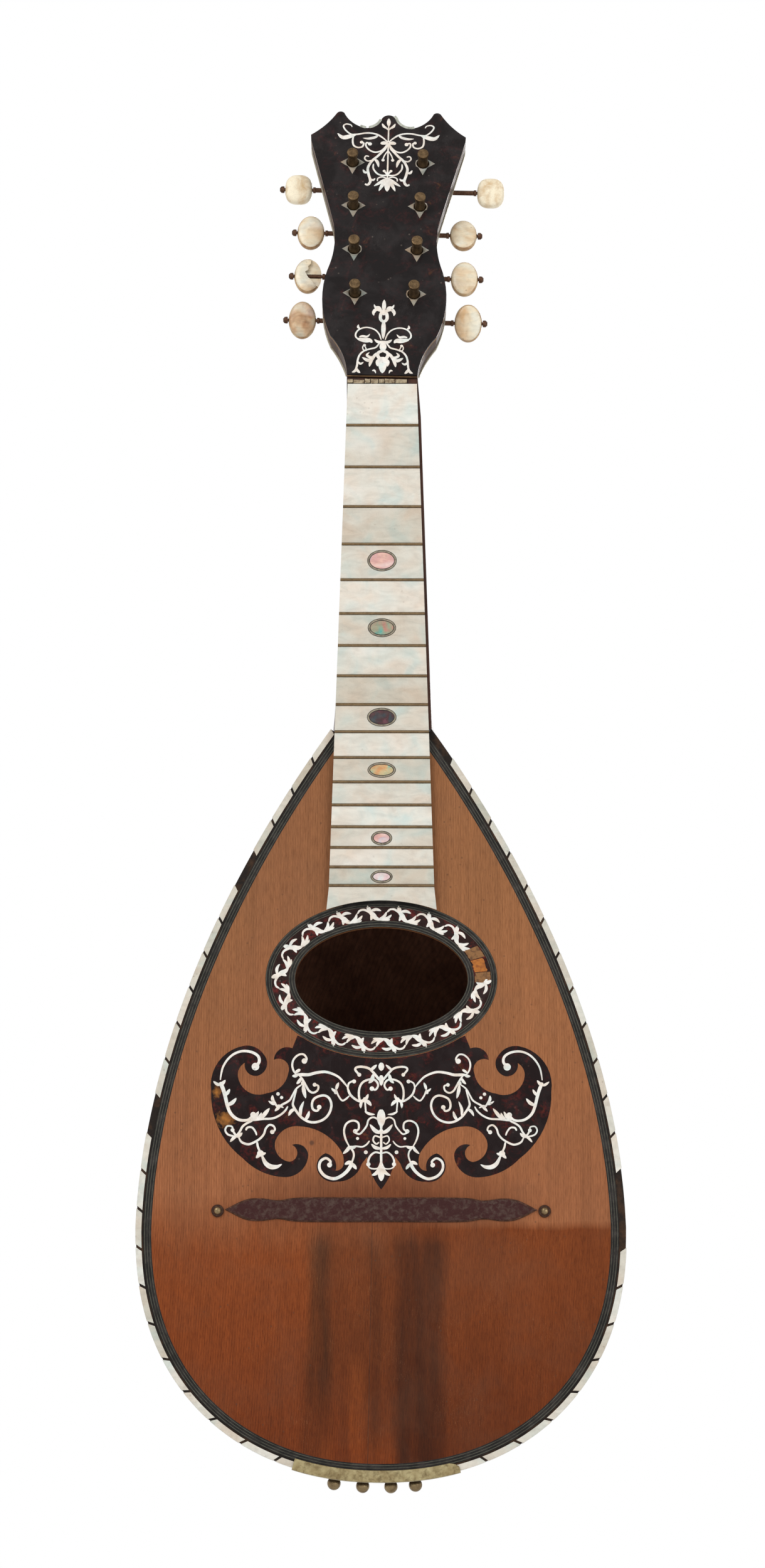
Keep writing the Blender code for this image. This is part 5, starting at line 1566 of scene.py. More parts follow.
def make_rosette():
    """The oval ring: dark banding with pale lines, tortoiseshell field and a vine of shell."""
    back = 1.1
    edges = (ellipse(ROSETTE_OUTER, ROSETTE_Z, -2.0), ellipse(ROSETTE_HOLE, ROSETTE_Z, 2.0))
    pieces = [make_object("field", ring_plate(*edges, -0.02, back), look("Rosette shell"))]
    outside = ((0.0, -2.3), (-0.2, -0.42), (-1.3, -1.5), (-2.1, -2.3))
    inside = ((2.5, 0.0), (2.4, 2.2), (1.35, 1.12), (0.35, 0.15))
    for axes, bands in ((ROSETTE_OUTER, outside), (ROSETTE_HOLE, inside)):
        for k, margins in enumerate(bands):
            front, finish = (-0.08, look("Pale line")) if k else (-0.05, look("Black mastic"))
            edges = (ellipse(axes, ROSETTE_Z, margin) for margin in margins)
            pieces.append(make_object("ring", ring_plate(*edges, front, back), finish))
    finished(joined_pieces("rosette_ring", pieces), "tortoiseshell", "rosette")

    halves = zip(ROSETTE_OUTER, ROSETTE_HOLE)
    middle = tuple((outer - 2.3 + hole + 2.5) / 2 for outer, hole in halves)
    curve, round_ring = edge_curve("vine_path", ellipse(middle, ROSETTE_Z, steps=240), closed=True)
    count = int(sizes().vine_units)
    places = [(round_ring * ((k + 0.7) / count), 0, 0) for k in range(1, count)]
    unit = make_object("unit", inlay_shapes(VINE_UNIT, 0.8, proud=0.07, both_halves=False))
    values = {
        "Shape": unit,
        "Edge": curve,
        "Slant": 0.0,
        "Fold height": -900.0,
        "Fold slope": 0.0,
        "Seed": 3,
        "Finish": look("Inlay shell"),
    }
    tree = tree_named("Row along an edge", build_row_tree)
    finished(grown("rosette_vine", places, tree, values), "pearl")

    chance = random.Random(4)
    scar, glow = look("Broken rosette"), look("Amber shell")
    bits = []
    for start, end, finish, less in ((-3, 6, scar, 0), (6.6, 18, glow, 0.9), (18.6, 28, scar, 0)):
        rim = []
        outer = (ROSETTE_OUTER, end, start, -2.5 - less, -0.5)
        inner = (ROSETTE_HOLE, start, end, 2.7, 0.5)
        for (half_x, half_z), first, last, margin, ragged in (outer, inner):
            for k in range(9):
                turn = math.radians(first + (last - first) * k / 8)
                wide = half_x + margin + ragged * chance.random()
                high = wide - half_x + half_z
                rim.append((wide * math.cos(turn), ROSETTE_Z + high * math.sin(turn)))
        bits.append(make_object("bit", prism(rim, -0.05, 0.5), finish))
    finished(joined_pieces("rosette_scar", bits), "spruce")


def make_pickguard():
    """The tortoiseshell plate let into the board, with its shell scrollwork."""
    plate = make_object("pickguard_plate", prism(guard_edge(), -0.03, 1.1), look("Tortoiseshell"))
    plate.data.shade_flat()
    finished(plate, "tortoiseshell", "pickguard")
    scroll = inlay_shapes(PICKGUARD_INLAY, 1.05, top=-270, down=True)
    finished(make_object("pickguard_scrollwork", scroll, look("Inlay shell")), "pearl")


def make_bridge_marks():
    """The raised old glue where the bridge stood, and the two pins beside it."""
    half = [(x, BRIDGE_Z + z) for x, z in smooth_path(FOOTPRINT, 6)]
    lower = [(x, 2 * BRIDGE_Z - z) for x, z in reversed(half[:-1])]
    edge = mirrored(half + lower)
    glue, rim = look("Old glue"), look("Glue edge")
    layers = []
    for wide, high, front, back, finish in (
        (0.985, 0.93, -0.88, -0.3, glue),
        (1, 1, -0.62, -0.3, rim),
        (1.004, 1.06, -0.3, 0.1, rim),
    ):
        outline = [(wide * x, BRIDGE_Z + high * (z - BRIDGE_Z)) for x, z in edge]
        layers.append(make_object("glue", prism(outline, front, back), finish))
    finished(joined_pieces("bridge_place", layers), "old_glue", "bridge_footprint")

    knob = ((0, -2.3), (0.7, -2.22), (1.15, -1.95), (1.45, -1.4), (1.3, -1.0))
    foot = ((1.6, -0.98), (2.2, -0.9), (2.4, -0.6), (2.4, -0.3), (0.8, -0.3), (0.8, 4.6))
    seat = look("Dirty pin seat")
    x, z = BRIDGE_PIN
    steps = 28
    for name, way in (("left", -1), ("right", 1)):
        bm = turned(knob + foot, steps)
        for face in bm.faces[(len(knob) - 1) * steps :]:
            face.material_index = 1
        pin = make_object(f"bridge_pin_turned_{name}", bm, look("Rubbed brass"), seat)
        matrix = shift(way * x * MM, 0, z * MM)
        finished(pin, "brass", f"bridge_pin_{name}", matrix=matrix)


def make_tail_fittings():
    """The thin strip over the edge at the tail and the four hitch pins."""
    left, right = TAIL_PLATE_X
    steps = 56
    xs = [right + (left - right) * k / steps for k in range(steps + 1)]
    edge = [(x, tail_z(x)) for x in xs]
    outside = ((-0.3, -0.3), (-0.3, 5.4), (-0.8, 5.4))
    rings = []
    for k in range(steps + 1):
        end = min(1.0, 0.35 + 0.65 * math.sqrt(min(1.0, k / 3.0)))
        reach = 0.3 + 3.3 * end
        face = ((-0.8, -0.62), (-0.62, -0.8), (reach - 0.12, -0.8), (reach, -0.68), (reach, -0.3))
        ring = []
        for inward, y in face + outside:
            x, z = inset(edge, inward)[k]
            ring.append((x, y + cant(z), z))
        rings.append(ring)
    plate = make_object("tail_strip", loft(rings), look("Worn tail strip"))
    nick = ((0.7, -3), (0.7, 5))
    nicks = [(turned(nick, 12), shift(x, 12, tail_z(x) + 3.9)) for x in (-22.0, -4.0, 16.0)]
    cut(plate, joined(nicks))
    finished(plate, "nickel_silver", "tail_plate")

    r = 2.6
    turns = (0, 0.25, 0.5, 0.8, 1.1, 1.4, 1.7, 2.0, 2.3)
    profile = [(r * math.sin(t), -r * math.cos(t)) for t in turns]
    profile += [(1.1, 0.82 * r), (1.1, 15)]
    for k, x in enumerate(HITCH_X):
        pin = make_object(f"hitch_knob_{k + 1}", turned(profile, 28, "Z"), look("Rubbed brass"))
        matrix = shift(x * MM, 22 * MM, (tail_z(x) - 1.9) * MM)
        finished(pin, "brass", f"hitch_pin_{k + 1}", matrix=matrix)


def make_neck():
    """The neck: a round back that grows into the heel, and narrows into the head."""
    lean, skew = math.tan(HEAD_LEAN), math.tan(HEAD_SKEW)
    top_z, bottom_z, heel_z, blend_z = 2.7, JOINT_Z + 0.02, -98.0, -14.0
    heights = [bottom_z + (heel_z - bottom_z) * k / 18 for k in range(18)]
    heights += [heel_z + (blend_z - heel_z) * k / 12 for k in range(12)]
    heights += [blend_z + (top_z - blend_z) * k / 8 for k in range(9)]
    to_right = 0.7
    rings = []
    for z in heights:
        depth = 15 + 3 * z / heel_z
        wide = board_half_width(z) - 0.1
        heel = max(0.0, (heel_z - z) / (heel_z - bottom_z))
        depth += (41.0 - depth) * heel**2.4
        wide += (20.3 - wide) * heel**1.5
        head = max(0.0, (z - blend_z) / (top_z - blend_z))
        depth += (8.6 - depth) * (3 * head**2 - 2 * head**3)
        front = board_half_width(z) + 0.3
        ring = []
        for k in range(33):
            turn = math.pi * k / 32
            c, s = math.cos(turn), max(math.sin(turn), 0)
            y = depth * s**0.9
            half = front + (wide - front) * min(1.0, y / 9)
            x = half * math.copysign(abs(c) ** 0.85, c) + to_right * (1 - head)
            ring.append((x, y, z - (lean * (y + 2.2) + skew * x) * head))
        rings.append(ring)
    neck = make_object("neck_shaped", loft(rings), look("Rosewood"), angle=50)
    finished(neck, "rosewood", "neck")

    chance = random.Random(8)
    chips = []
    x = -14.0
    while x < 7.0:
        wide = 1.4 + 3.2 * chance.random()
        deep, high = 0.9 + 0.8 * chance.random(), 1.6 + 0.5 * chance.random()
        section = ((0.2, -0.1), (-deep, -0.05), (-0.85 * deep, high * 0.9), (0.2, high))
        rings = [[(x + share * wide, y, z) for y, z in section] for share in (0, 0.3, 0.7, 1)]
        for ring in rings:
            for n in (1, 2):
                a, y, z = ring[n]
                ring[n] = (a, y + 0.4 * chance.random(), z - 0.3 * chance.random())
        chips.append(loft(rings))
        x += wide + 0.3
    finished(make_object("nut_residue", joined(chips), look("Nut residue")), "old_glue")


def make_fingerboard():
    """The board's dark core, its pearl plates, the frets and the oval markers."""
    string = sizes().scale_length / MM
    frets = int(sizes().frets)
    a, b = ROSETTE_OUTER[0] + 0.1, ROSETTE_OUTER[1] - 0.5

    def board_edge(top, bottom, side_in):
        """Edge of a stretch of the board. bottom is None where the rosette cuts it."""
        half = board_half_width(top) - side_in
        if bottom is None:
            xs = [(half + 0.9) * k / 12 for k in range(12, -1, -1)]
            high = b + 0.7 * side_in
            end = [(x, ROSETTE_Z + high * math.sqrt(1 - (x / a) ** 2)) for x in xs]
        else:
            end = [(board_half_width(bottom) - side_in, bottom), (0, bottom)]
        return mirrored([(0, top), (half, top), *end])

    core = prism(board_edge(BOARD_TOP_Z, None, 0.0), -2.7, -0.3)
    finished(make_object("board_core", core, look("Black mastic")), "black_wood", "fingerboard")

    plates = []
    for number in range(frets + 1):
        top = fret_z(number, string) - 0.6 if number else BOARD_TOP_Z - 0.25
        bottom = fret_z(number + 1, string) + 0.6 if number < frets else None
        plate = prism(board_edge(top, bottom, 0.2), -3.0, -2.6)
        piece = make_object("plate", plate, look("Fingerboard pearl"))
        layer = piece.data.attributes.new("shade", "FLOAT", "POINT").data
        layer.foreach_set("value", [(number * 0.618) % 1.0] * len(layer))
        piece.data.shade_flat()
        plates.append(piece)
    finished(joined_pieces("pearl_plates", plates), "pearl")

    side = ((0.5, -2.6), (0.5, -3.1), (0.38, -3.45), (0.15, -3.62))
    section = side + tuple((-z, y) for z, y in reversed(side))
    bar = make_object("bar", loft([[(x, y, z) for z, y in section] for x in (-1, 1)]))
    values = {
        "Bar": bar,
        "Count": frets,
        "String length": string,
        "Half width": BOARD_HALF_NUT - 0.2,
        "Taper": BOARD_TAPER,
        "Top": BOARD_TOP_Z,
        "Finish": look("Old fret metal"),
    }
    tree = tree_named("Frets", build_fret_tree)
    finished(grown("frets", [(0, 0, 0)], tree, values), "nickel_silver")

    black, grey = look("Black mastic"), look("Marker band")
    ovals = []
    for z, wide, high, shell in MARKERS:
        rims = ((0, black), (0.22, grey), (0.78, black), (1.05, look(f"Marker {shell} shell")))
        for k, (inward, finish) in enumerate(rims):
            outline = ellipse((wide / 2 - inward, high / 2 - inward), z, steps=48)
            ovals.append(make_object("oval", prism(outline, -3.03 - 0.02 * k, -2.9), finish))
    finished(joined_pieces("oval_markers", ovals), "pearl")


def plate_edge():
    return mirrored(trace(PLATE_START, (PLATE_FIRST_LEG, *HEAD_LEGS)))


def tuner_places():
    """Name, side's sign, number, x and height on the head of each post."""
    for side, way in (("left", -1), ("right", 1)):
        for k in range(4):
            yield f"{side}_{k + 1}", way, k, way * (12.0 + 0.85 * k), 39.1 + 21.35 * k


def post_holes():
    hole = ((2.6, -4), (2.6, 16))
    return joined([(turned(hole, 24), shift(x, 0, s)) for _, _, _, x, s in tuner_places()])


def make_head():
    """The head's layers, its shell scrolls, the stars round the posts and the broken edging."""
    right_half = trace(HEAD_START, (HEAD_FIRST_LEG, *HEAD_LEGS))
    edge = mirrored(right_half)
    veneer = cut(make_object("head_face", prism(edge, 0, 0.8), look("Head shell")), post_holes())
    veneer.data.shade_flat()
    finished(veneer, "tortoiseshell", "head_veneer", matrix=HEAD_FRAME)

    tan, brown = look("Tan line"), look("Dark walnut")
    wide = inset(plate_edge(), -0.45, closed=True)
    middle = inset(plate_edge(), -1.3, closed=True)
    layers = []
    for outline, front, back, finish in (
        (edge, 0.9, 1.7, tan),
        (edge, 1.7, 5.6, brown),
        (middle, 5.6, 6.2, tan),
        (wide, 6.2, 9.0, brown),
    ):
        layer = cut(make_object("layer", prism(outline, front, back), finish), post_holes())
        layer.data.shade_flat()
        layers.append(layer)
    finished(joined_pieces("head_core", layers), "walnut", "headstock", matrix=HEAD_FRAME)

    parts = ((HEAD_TOP_INLAY, 1.05), (HEAD_FOOT_INLAY, 0.85))
    scroll = joined([inlay_shapes(part, fat) for part, fat in parts])
    scroll = make_object("head_scrollwork", scroll, look("Inlay shell"))
    finished(scroll, "pearl", matrix=HEAD_FRAME)

    stars = []
    for name, _, _, x, s in tuner_places():
        points = []
        for corner in range(4):
            whole = 5.8 if corner % 2 else 5.0
            reach = 3.2 if (name, corner) in BROKEN_POINTS else whole
            turn = -math.pi / 2 * corner
            points.append((x + reach * math.cos(turn), s + reach * math.sin(turn)))
            for part in (0.3, 0.5, 0.7):
                angle = turn - math.pi / 2 * part
                near = 2.75 + 2.2 * abs(part - 0.5)
                points.append((x + near * math.cos(angle), s + near * math.sin(angle)))
        stars.append(prism(points, -0.06, 0.3))
    stars = make_object("post_stars", joined(stars), look("Star shell"))
    finished(cut(stars, post_holes()), "pearl", matrix=HEAD_FRAME)

    bits = []
    for way, low, high in ((1, 2.0, 11.9), (-1, 3.0, 8.6), (-1, 9.2, 12.4)):
        run = [(x, z) for x, z in right_half if low <= x <= high and z > 118]
        path = [(way * x, z) for x, z in inset(run, 0.35)]
        bits.append(ribbon(path, [1.1] * len(path), 0.1, 8.8))
    bits = make_object("head_edging_bits", joined(bits), look("Pale edging"))
    finished(bits, "pearl", matrix=HEAD_FRAME)


def make_tuner_plate():
    """The plate behind the head: bearing lugs, screws and a worked border."""
    edge = plate_edge()
    back = 10.1
    plate = make_object("back_plate", prism(edge, 9.3, back), look("Nickel silver"))
    cut(plate, post_holes())
    plate.data.shade_flat()
    profile = [(1.9, 10.0), (1.9, WORM_DEPTH)]
    profile += [(1.9 * math.cos(t), WORM_DEPTH + 2.05 * math.sin(t)) for t in (0.5, 0.9, 1.25)]
    profile += [(-s, y) for s, y in reversed(profile)]
    lugs, bores = [], []
    for _, _, _, x, s in tuner_places():
        shaft_s = s - WORM_BELOW_POST
        for way in (-1, 1):
            middle = x + way * 4.95
            rings = [[(middle + end * 0.65, y, up) for up, y in profile] for end in (-1, 1)]
            lugs.append((loft(rings), shift(0, 0, shaft_s)))
        bores.append((turned(((1.15, -7), (1.15, 7)), 20, "X"), shift(x, WORM_DEPTH, shaft_s)))
    lugs = cut(make_object("lugs", joined(lugs), look("Nickel silver")), joined(bores))
    border = []
    for inward in (1.3, 2.1):
        edges = (inset(edge, -inward, True), inset(edge, -inward - 0.25, True))
        border.append(ring_plate(*edges, 10.0, 10.16))
    pieces = [plate, lugs, make_object("border", joined(border), look("Plate lines"))]
    whole = joined_pieces("back_plate_and_lugs", pieces)
    finished(whole, "nickel_silver", "tuner_plate", matrix=HEAD_FRAME)

    spots = [(way * x, back, s) for way in (-1, 1) for x, s in SIDE_SCREWS]
    spots += [(0, back, s) for s in MIDDLE_SCREWS]
    head = turned(((0, 0.62), (0.9, 0.55), (1.35, 0.3), (1.5, 0.0), (1.5, -0.3)), 16)
    slot = prism(((-2, -0.16), (2, -0.16), (2, 0.16), (-2, 0.16)), 0.25, 1.0)
    screw = cut(make_object("screw", head), slot)
    chance = random.Random(2)
    turns = [chance.random() * math.pi for _ in spots]
    values = {"Shape": screw, "Size": 1.0, "Finish": look("Brown steel")}
    tree = tree_named("Shapes on points", build_scatter_tree)
    screws = grown("plate_screws", spots, tree, values, turns)
    finished(screws, "steel", matrix=HEAD_FRAME)


def worm_mesh(middle, low_side, high_side, sides=16):
    """A shaft along X with a right-hand thread round x = middle, and rings of (x, r) past it."""
    last = round(2.5 * sides)
    start = middle - 1.75 * WORM_PITCH
    bm = bmesh.new()

    def point(step, x, radius):
        turn = math.tau * step / sides
        return bm.verts.new((x, radius * math.cos(turn), radius * math.sin(turn)))

    root = [point(k, start + WORM_PITCH * k / sides, 1.0) for k in range(last + sides + 1)]
    crests = []
    for k in range(last + 1):
        rise = min(1.0, 2 * k / sides, 2 * (last - k) / sides)
        x = start + WORM_PITCH * (k / sides + 0.5)
        crests.append([point(k, x + way * 0.22, 1.0 + 1.1 * rise) for way in (-1, 1)])
    for k in range(last):
        (a, b), (c, d) = crests[k], crests[k + 1]
        bm.faces.new((root[k], root[k + 1], c, a))
        bm.faces.new((a, c, d, b))
        bm.faces.new((b, d, root[k + 1 + sides], root[k + sides]))

    def run(stations, first_step):
        rows = [[point(first_step + k, x, r) for k in range(sides)] for x, r in stations]
        for near, far in zip(rows, rows[1:]):
            for k in range(sides):
                after = (k + 1) % sides
                bm.faces.new((near[k], near[after], far[after], far[k]))
        bm.faces.new(rows[-1])
        return rows[0]

    low = run(low_side, 0)
    for k in range(sides - 1):
        bm.faces.new((low[k], low[k + 1], root[k + 1], root[k]))
    bm.faces.new((low[-1], low[0], root[0], *crests[0], root[sides], root[sides - 1]))
    high = run(high_side, last)
    for k in range(1, sides - 1):
        bm.faces.new((root[last + k], root[last + k + 1], high[k + 1], high[k]))
    end = root[last + sides]
    bm.faces.new((root[last + sides - 1], end, high[0], high[-1]))
    a, b = crests[last]
    bm.faces.new((root[last], root[last + 1], high[1], high[0], end, b, a))
    return bm


def gear_mesh():
    """A bored wheel whose teeth are turned a little from face to face, to suit the thread."""
    teeth = []
    for tooth in range(GEAR_TEETH):
        middle = math.tau * (tooth + 0.5) / GEAR_TEETH - math.pi / 2
        for turn, radius in ((-0.115, 3.05), (-0.055, 4.2), (0.055, 4.2), (0.115, 3.05)):
            teeth.append((middle + turn, radius))
    rings = []
    for way, bored in ((-1, False), (1, False), (1, True), (-1, True), (-1, False)):
        twist = 0 if bored else way * math.radians(2.5)
        ring = [(1.8 if bored else radius, turn - twist) for turn, radius in teeth]
        rings.append([(r * math.cos(t), WORM_DEPTH + way, r * math.sin(t)) for r, t in ring])
    bm = loft(rings, caps=False)
    bmesh.ops.remove_doubles(bm, verts=bm.verts, dist=1e-4)
    return bm


def button_mesh(cushion, turn):
    """A flat disc with a rounded edge, or a thicker squared cushion."""
    steps = 44
    tall, thick, power = (6.4, 2.6, 0.75) if cushion else (7.8, 1.7, 1.0)
    side = ((0.55, -1), (0.8, -0.93), (0.92, -0.72), (0.985, -0.35))
    rings = []
    for size, height in (*side, (1, 0), *((size, -height) for size, height in reversed(side))):
        ring = []
        for k in range(steps):
            c, s = math.cos(math.tau * k / steps), math.sin(math.tau * k / steps)
            x = 5.65 * size * math.copysign(abs(c) ** power, c)
            z = tall * size * math.copysign(abs(s) ** power, s)
            ring.append((x, thick * height, z))
        rings.append(ring)
    bm = loft(rings)
    if not cushion:
        bm.faces.ensure_lookup_table()
        for face in bm.faces[2 * steps : 6 * steps]:
            face.material_index = 1
    bm.transform(Matrix.Rotation(turn, 4, "X"))
    return bm


def make_post(name, place, slit_turn):
    """A string post with its eye and slit, and the wheel on it."""
    head = ((0.6, -7.1), (1.7, -7.35), (2.2, -7.2), (2.35, -6.6), (2.2, -5.6), (1.85, -4.6))
    stem = ((1.9, -3.2), (2.15, -0.8), (2.15, 10.4), (2.8, 10.4), (2.8, 11.3), (1.5, 11.3))
    end = ((1.5, 13.9), (2.3, 13.9), (2.2, 14.5), (1.6, 14.8))
    brass = look("Tarnished brass")
    post = make_object(f"post_turned_{name}", turned(head + stem + end, 28), brass)
    eye = turned(((0.7, -4), (0.7, 4)), 14, "X")
    slit = prism(((-0.25, -3), (0.25, -3), (0.25, 3), (-0.25, 3)), 14.3, 16)
    cut(post, joined([(eye, shift(0, -4.7, 0)), (slit, Matrix.Rotation(slit_turn, 4, "Y"))]))
    finished(post, "brass", f"post_{name}", body=f"string_post_{name}", matrix=place)
    gear = make_object(f"gear_cut_{name}", gear_mesh(), brass)
    gear.data.shade_flat()
    finished(gear, "brass", f"gear_{name}", body=f"string_post_{name}", matrix=place)


def make_shaft(name, way, x, button_x, blind, place):
    """A worm shaft. A blind one ends inside its button."""
    thread_end = 2.1 * WORM_PITCH
    ends = ((thread_end, 1.0), (5.9, 1.0), (5.9, 1.7), (6.3, 1.8), (6.7, 1.5))
    inner = [(x - way * at, r) for at, r in ends]
    outer = [(x + way * thread_end, 1.0)]
    stations = [(-7.15, 1.0), (-6.95, 1.25), (-5.95, 1.25), (-5.95, 0.7)]
    if blind:
        stations.append((1.0, 0.7))
    else:
        stations += [(5.95, 0.7), (5.95, 1.3), (6.45, 1.45), (7.25, 1.35), (7.85, 0.7)]
    outer += [(button_x + way * at, r) for at, r in stations]
    low_side, high_side = (inner, outer) if way > 0 else (outer, inner)
    thread = worm_mesh(x, low_side, high_side)
    shaft = make_object(f"worm_cut_{name}", thread, look("Brown steel"))
    finished(shaft, "steel", f"worm_shaft_{name}", body=f"tuning_shaft_{name}", matrix=place)


def make_tuners():
    """For each string: a post and its wheel, and a shaft with its worm and button."""
    bone, rim = look("Old bone"), look("Button rim")
    for name, way, k, x, s in tuner_places():
        make_post(name, HEAD_FRAME @ shift(x * MM, 0, s * MM), 0.4 + k)

        cushion = k == 3
        blind = name == "right_4"
        button_x = way * BUTTON_X[name[:-2]][k]
        shaft_z = (s - WORM_BELOW_POST) * MM
        place = HEAD_FRAME @ shift(0, WORM_DEPTH * MM, shaft_z)
        make_shaft(name, way, x, button_x, blind, place)

        turn = math.radians(BUTTON_TURN[name[:-2]][k])
        face = look("Tan button shell" if name == "left_1" else "Button shell")
        looks = (bone,) if cushion else (face, rim)
        button = make_object(f"button_shaped_{name}", button_mesh(cushion, turn), *looks)
        ends = sorted((-way * 9, way * (2 if blind else 9)))
        cut(button, turned([(0.95, end) for end in ends], 16, "X"))
        if name == "left_2":
            cut(button, joined([(prism(BROKEN_DISC, -4, -0.1), Matrix.Rotation(turn, 4, "X"))]))
        shade(button, 40)
        place = HEAD_FRAME @ shift(button_x * MM, WORM_DEPTH * MM, shaft_z)
        slot = "bone" if cushion else "pearl"
        finished(button, slot, f"button_{name}", body=f"tuning_shaft_{name}", matrix=place)


def seen_by_camera(tree):
    """1 for rays from the camera, straight or by a mirror or glass, and 0 for light."""
    rays = node("ShaderNodeLightPath", tree=tree)
    bent = maths("MAXIMUM", rays["Is Glossy Ray"], rays["Is Transmission Ray"])
    return maths("MAXIMUM", rays["Is Camera Ray"], bent)


def make_stage():
    """A pale floor, soft lamps, a white surround and the camera."""
    scene = bpy.context.scene
    bm = bmesh.new()
    bmesh.ops.create_circle(bm, cap_ends=True, radius=4.0, segments=64)
    bm.transform(shift(0, 0, -0.62))
    finish, shader, where = blank_finish("Studio floor", 0.8)
    greys = (0.86, 0.86, 0.86), (0.9, 0.9, 0.9)
    feed(shader["Base Color"], mix(noise(where, 3.0, 2.0), *greys))
    glow = ramp(length(where), 0.7, 2.4, 0.08, 0.5) * seen_by_camera(finish.node_tree)
    feed(shader["Emission Color"], glow)
    shader["Emission Strength"].default_value = 1.0
    link_mesh("floor", bm, finish)

    world = bpy.data.worlds.new("Studio")
    scene.world = world
    world.use_nodes = True
    sky = world.node_tree.nodes["Background"].inputs
    sky["Color"].default_value = (1, 1, 1, 1)
    feed(sky["Strength"], ramp(seen_by_camera(world.node_tree), 0, 1, 0.62, 1.0))

    for name, place, size, power in (
        ("key", (-1.1, -1.7, 1.0), 1.3, 22),
        ("fill", (1.3, -1.8, 0.1), 1.4, 12),
        ("back", (0.5, 1.9, 0.9), 1.4, 18),
    ):
        data = bpy.data.lights.new(name, "AREA")
        data.shape = "DISK"
        data.size = size
        data.energy = power
        lamp = link(name, data)
        lamp.location = place
        aim = Vector((0, 0, -0.2)) - Vector(place)
        lamp.rotation_euler = aim.to_track_quat("-Z", "Y").to_euler()

    data = bpy.data.cameras.new("camera")
    data.lens = sizes().camera_lens
    data.sensor_width = 36
    data.shift_x = 1.3 / 2500
    data.clip_end = 50
    camera = link("camera", data)
    tilt, roll = math.radians(12.7), math.radians(0.08)
    ahead = Vector((0, math.cos(tilt), math.sin(tilt)))
    above = Vector((0, -math.sin(tilt), math.cos(tilt)))
    right = Vector((1, 0, 0)) * math.cos(roll) + above * math.sin(roll)
    up = Vector((-1, 0, 0)) * math.sin(roll) + above * math.cos(roll)
    spot = Vector((0, -3, 0)) - 1500 * ahead - 161.8 * above
    turn = Matrix((right, up, -ahead)).transposed().to_4x4()
    camera.matrix_world = Matrix.Translation(spot * MM) @ turn
    scene.camera = camera
    scene.view_settings.view_transform = "Standard"


# Panel, settings and operators


class MandolinSizes(bpy.types.PropertyGroup):
    """Sizes that can be changed before the pieces are made."""

    scale_length: bpy.props.FloatProperty(
        name="String length", description="From the nut to the bridge", default=0.330, unit="LENGTH"
    )
    frets: bpy.props.IntProperty(name="Frets", description="Number of frets", default=17)
    tile_length: bpy.props.FloatProperty(
        name="Tile pitch",
        description="Length of an edging tile with its joint",
        default=0.0147,
        unit="LENGTH",
    )
    tile_joint: bpy.props.FloatProperty(
        name="Tile joint",
        description="Width of the dark joint between two tiles",
        default=0.00115,
        unit="LENGTH",
    )
    vine_units: bpy.props.IntProperty(
        name="Vine units", description="Leaf units round the rosette", default=18
    )
    staves: bpy.props.IntProperty(name="Staves", description="Staves of the bowl", default=20)
    camera_lens: bpy.props.FloatProperty(
        name="Lens", description="Focal length of the camera in millimetres", default=85.752
    )


def colour_setting(name, description, value):
    look = {"subtype": "COLOR", "size": 3, "min": 0, "max": 1}
    return bpy.props.FloatVectorProperty(name=name, description=description, default=value, **look)


class MandolinColours(bpy.types.PropertyGroup):
    """Colours of the finishes."""

    spruce: colour_setting("Soundboard", "Soundboard above the bridge", (0.272, 0.112, 0.044))
    # The lower soundboard's colour is partly its own tone and partly painted shade of the part
    # below the fold
    spruce_low: colour_setting(
        "Lower soundboard", "Soundboard below the bridge", (0.192, 0.0445, 0.0095)
    )
    rosewood: colour_setting("Rosewood", "Bowl and neck", (0.085, 0.03, 0.016))
    black: colour_setting("Black", "Mastic and dyed wood", (0.013, 0.012, 0.011))
    tortoise: colour_setting("Tortoiseshell", "Pickguard ground", (0.009, 0.004, 0.004))
    pearl: colour_setting("Pearl", "Plates and edging", (0.7, 0.675, 0.6))
    pearl_warm: colour_setting("Warm pearl", "Warm clouds in the pearl", (0.7, 0.6, 0.5))
    pearl_cool: colour_setting("Cool pearl", "Cool clouds in the pearl", (0.56, 0.64, 0.6))
    inlay: colour_setting("Inlay", "Shell scrollwork", (0.8, 0.76, 0.7))


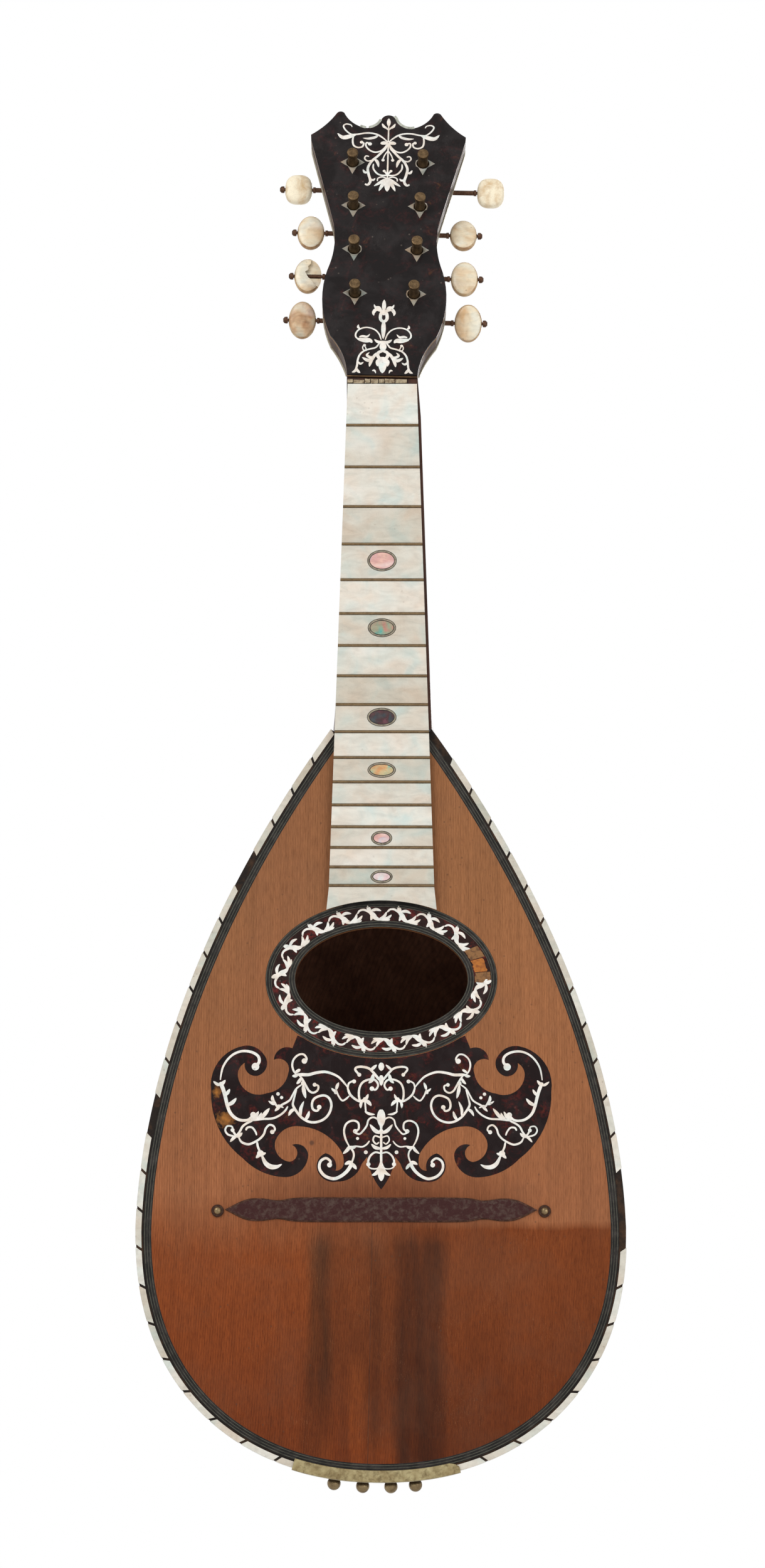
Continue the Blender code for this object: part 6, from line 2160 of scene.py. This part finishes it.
PIECES = (
    ("stage", "Stage", make_stage),
    ("bowl", "Bowl and tail cap", make_bowl),
    ("edging", "Pearl edging", make_edging),
    ("purfling", "Purfling", make_purfling),
    ("soundboard", "Soundboard", make_soundboard),
    ("rosette", "Rosette", make_rosette),
    ("pickguard", "Pickguard", make_pickguard),
    ("bridge_marks", "Bridge marks", make_bridge_marks),
    ("tail_fittings", "Tail fittings", make_tail_fittings),
    ("neck", "Neck", make_neck),
    ("fingerboard", "Fingerboard", make_fingerboard),
    ("head", "Head", make_head),
    ("tuner_plate", "Tuner plate", make_tuner_plate),
    ("tuners", "Tuners", make_tuners),
)


def operator_class(key, label, build):
    def execute(self, context):
        build()
        return {"FINISHED"}

    parts = {
        "bl_idname": "mandolin." + key,
        "bl_label": label,
        "__doc__": build.__doc__,
        "execute": execute,
    }
    return type("MANDOLIN_OT_" + key, (bpy.types.Operator,), parts)


OPERATORS = tuple(operator_class(*piece) for piece in PIECES)


class MANDOLIN_PT_pieces(bpy.types.Panel):
    """Lists the pieces, and the sizes and colours that they are made with."""

    bl_label = "Mandolin"
    bl_idname = "MANDOLIN_PT_pieces"
    bl_space_type = "VIEW_3D"
    bl_region_type = "UI"
    bl_category = "Mandolin"

    def draw(self, context):
        layout = self.layout
        for group in (context.scene.mandolin_sizes, context.scene.mandolin_colours):
            box = layout.box()
            for key in group.bl_rna.properties.keys():
                if key not in ("rna_type", "name"):
                    box.prop(group, key)
        for operator in OPERATORS:
            layout.operator(operator.bl_idname)


CLASSES = (MandolinSizes, MandolinColours, *OPERATORS, MANDOLIN_PT_pieces)


def register():
    for each in CLASSES:
        bpy.utils.register_class(each)
    bpy.types.Scene.mandolin_sizes = bpy.props.PointerProperty(type=MandolinSizes)
    bpy.types.Scene.mandolin_colours = bpy.props.PointerProperty(type=MandolinColours)


def unregister():
    del bpy.types.Scene.mandolin_sizes
    del bpy.types.Scene.mandolin_colours
    for each in reversed(CLASSES):
        bpy.utils.unregister_class(each)


def main():
    register()
    for operator in OPERATORS:
        group, name = operator.bl_idname.split(".")
        getattr(getattr(bpy.ops, group), name)()


if __name__ == "__main__":
    main()
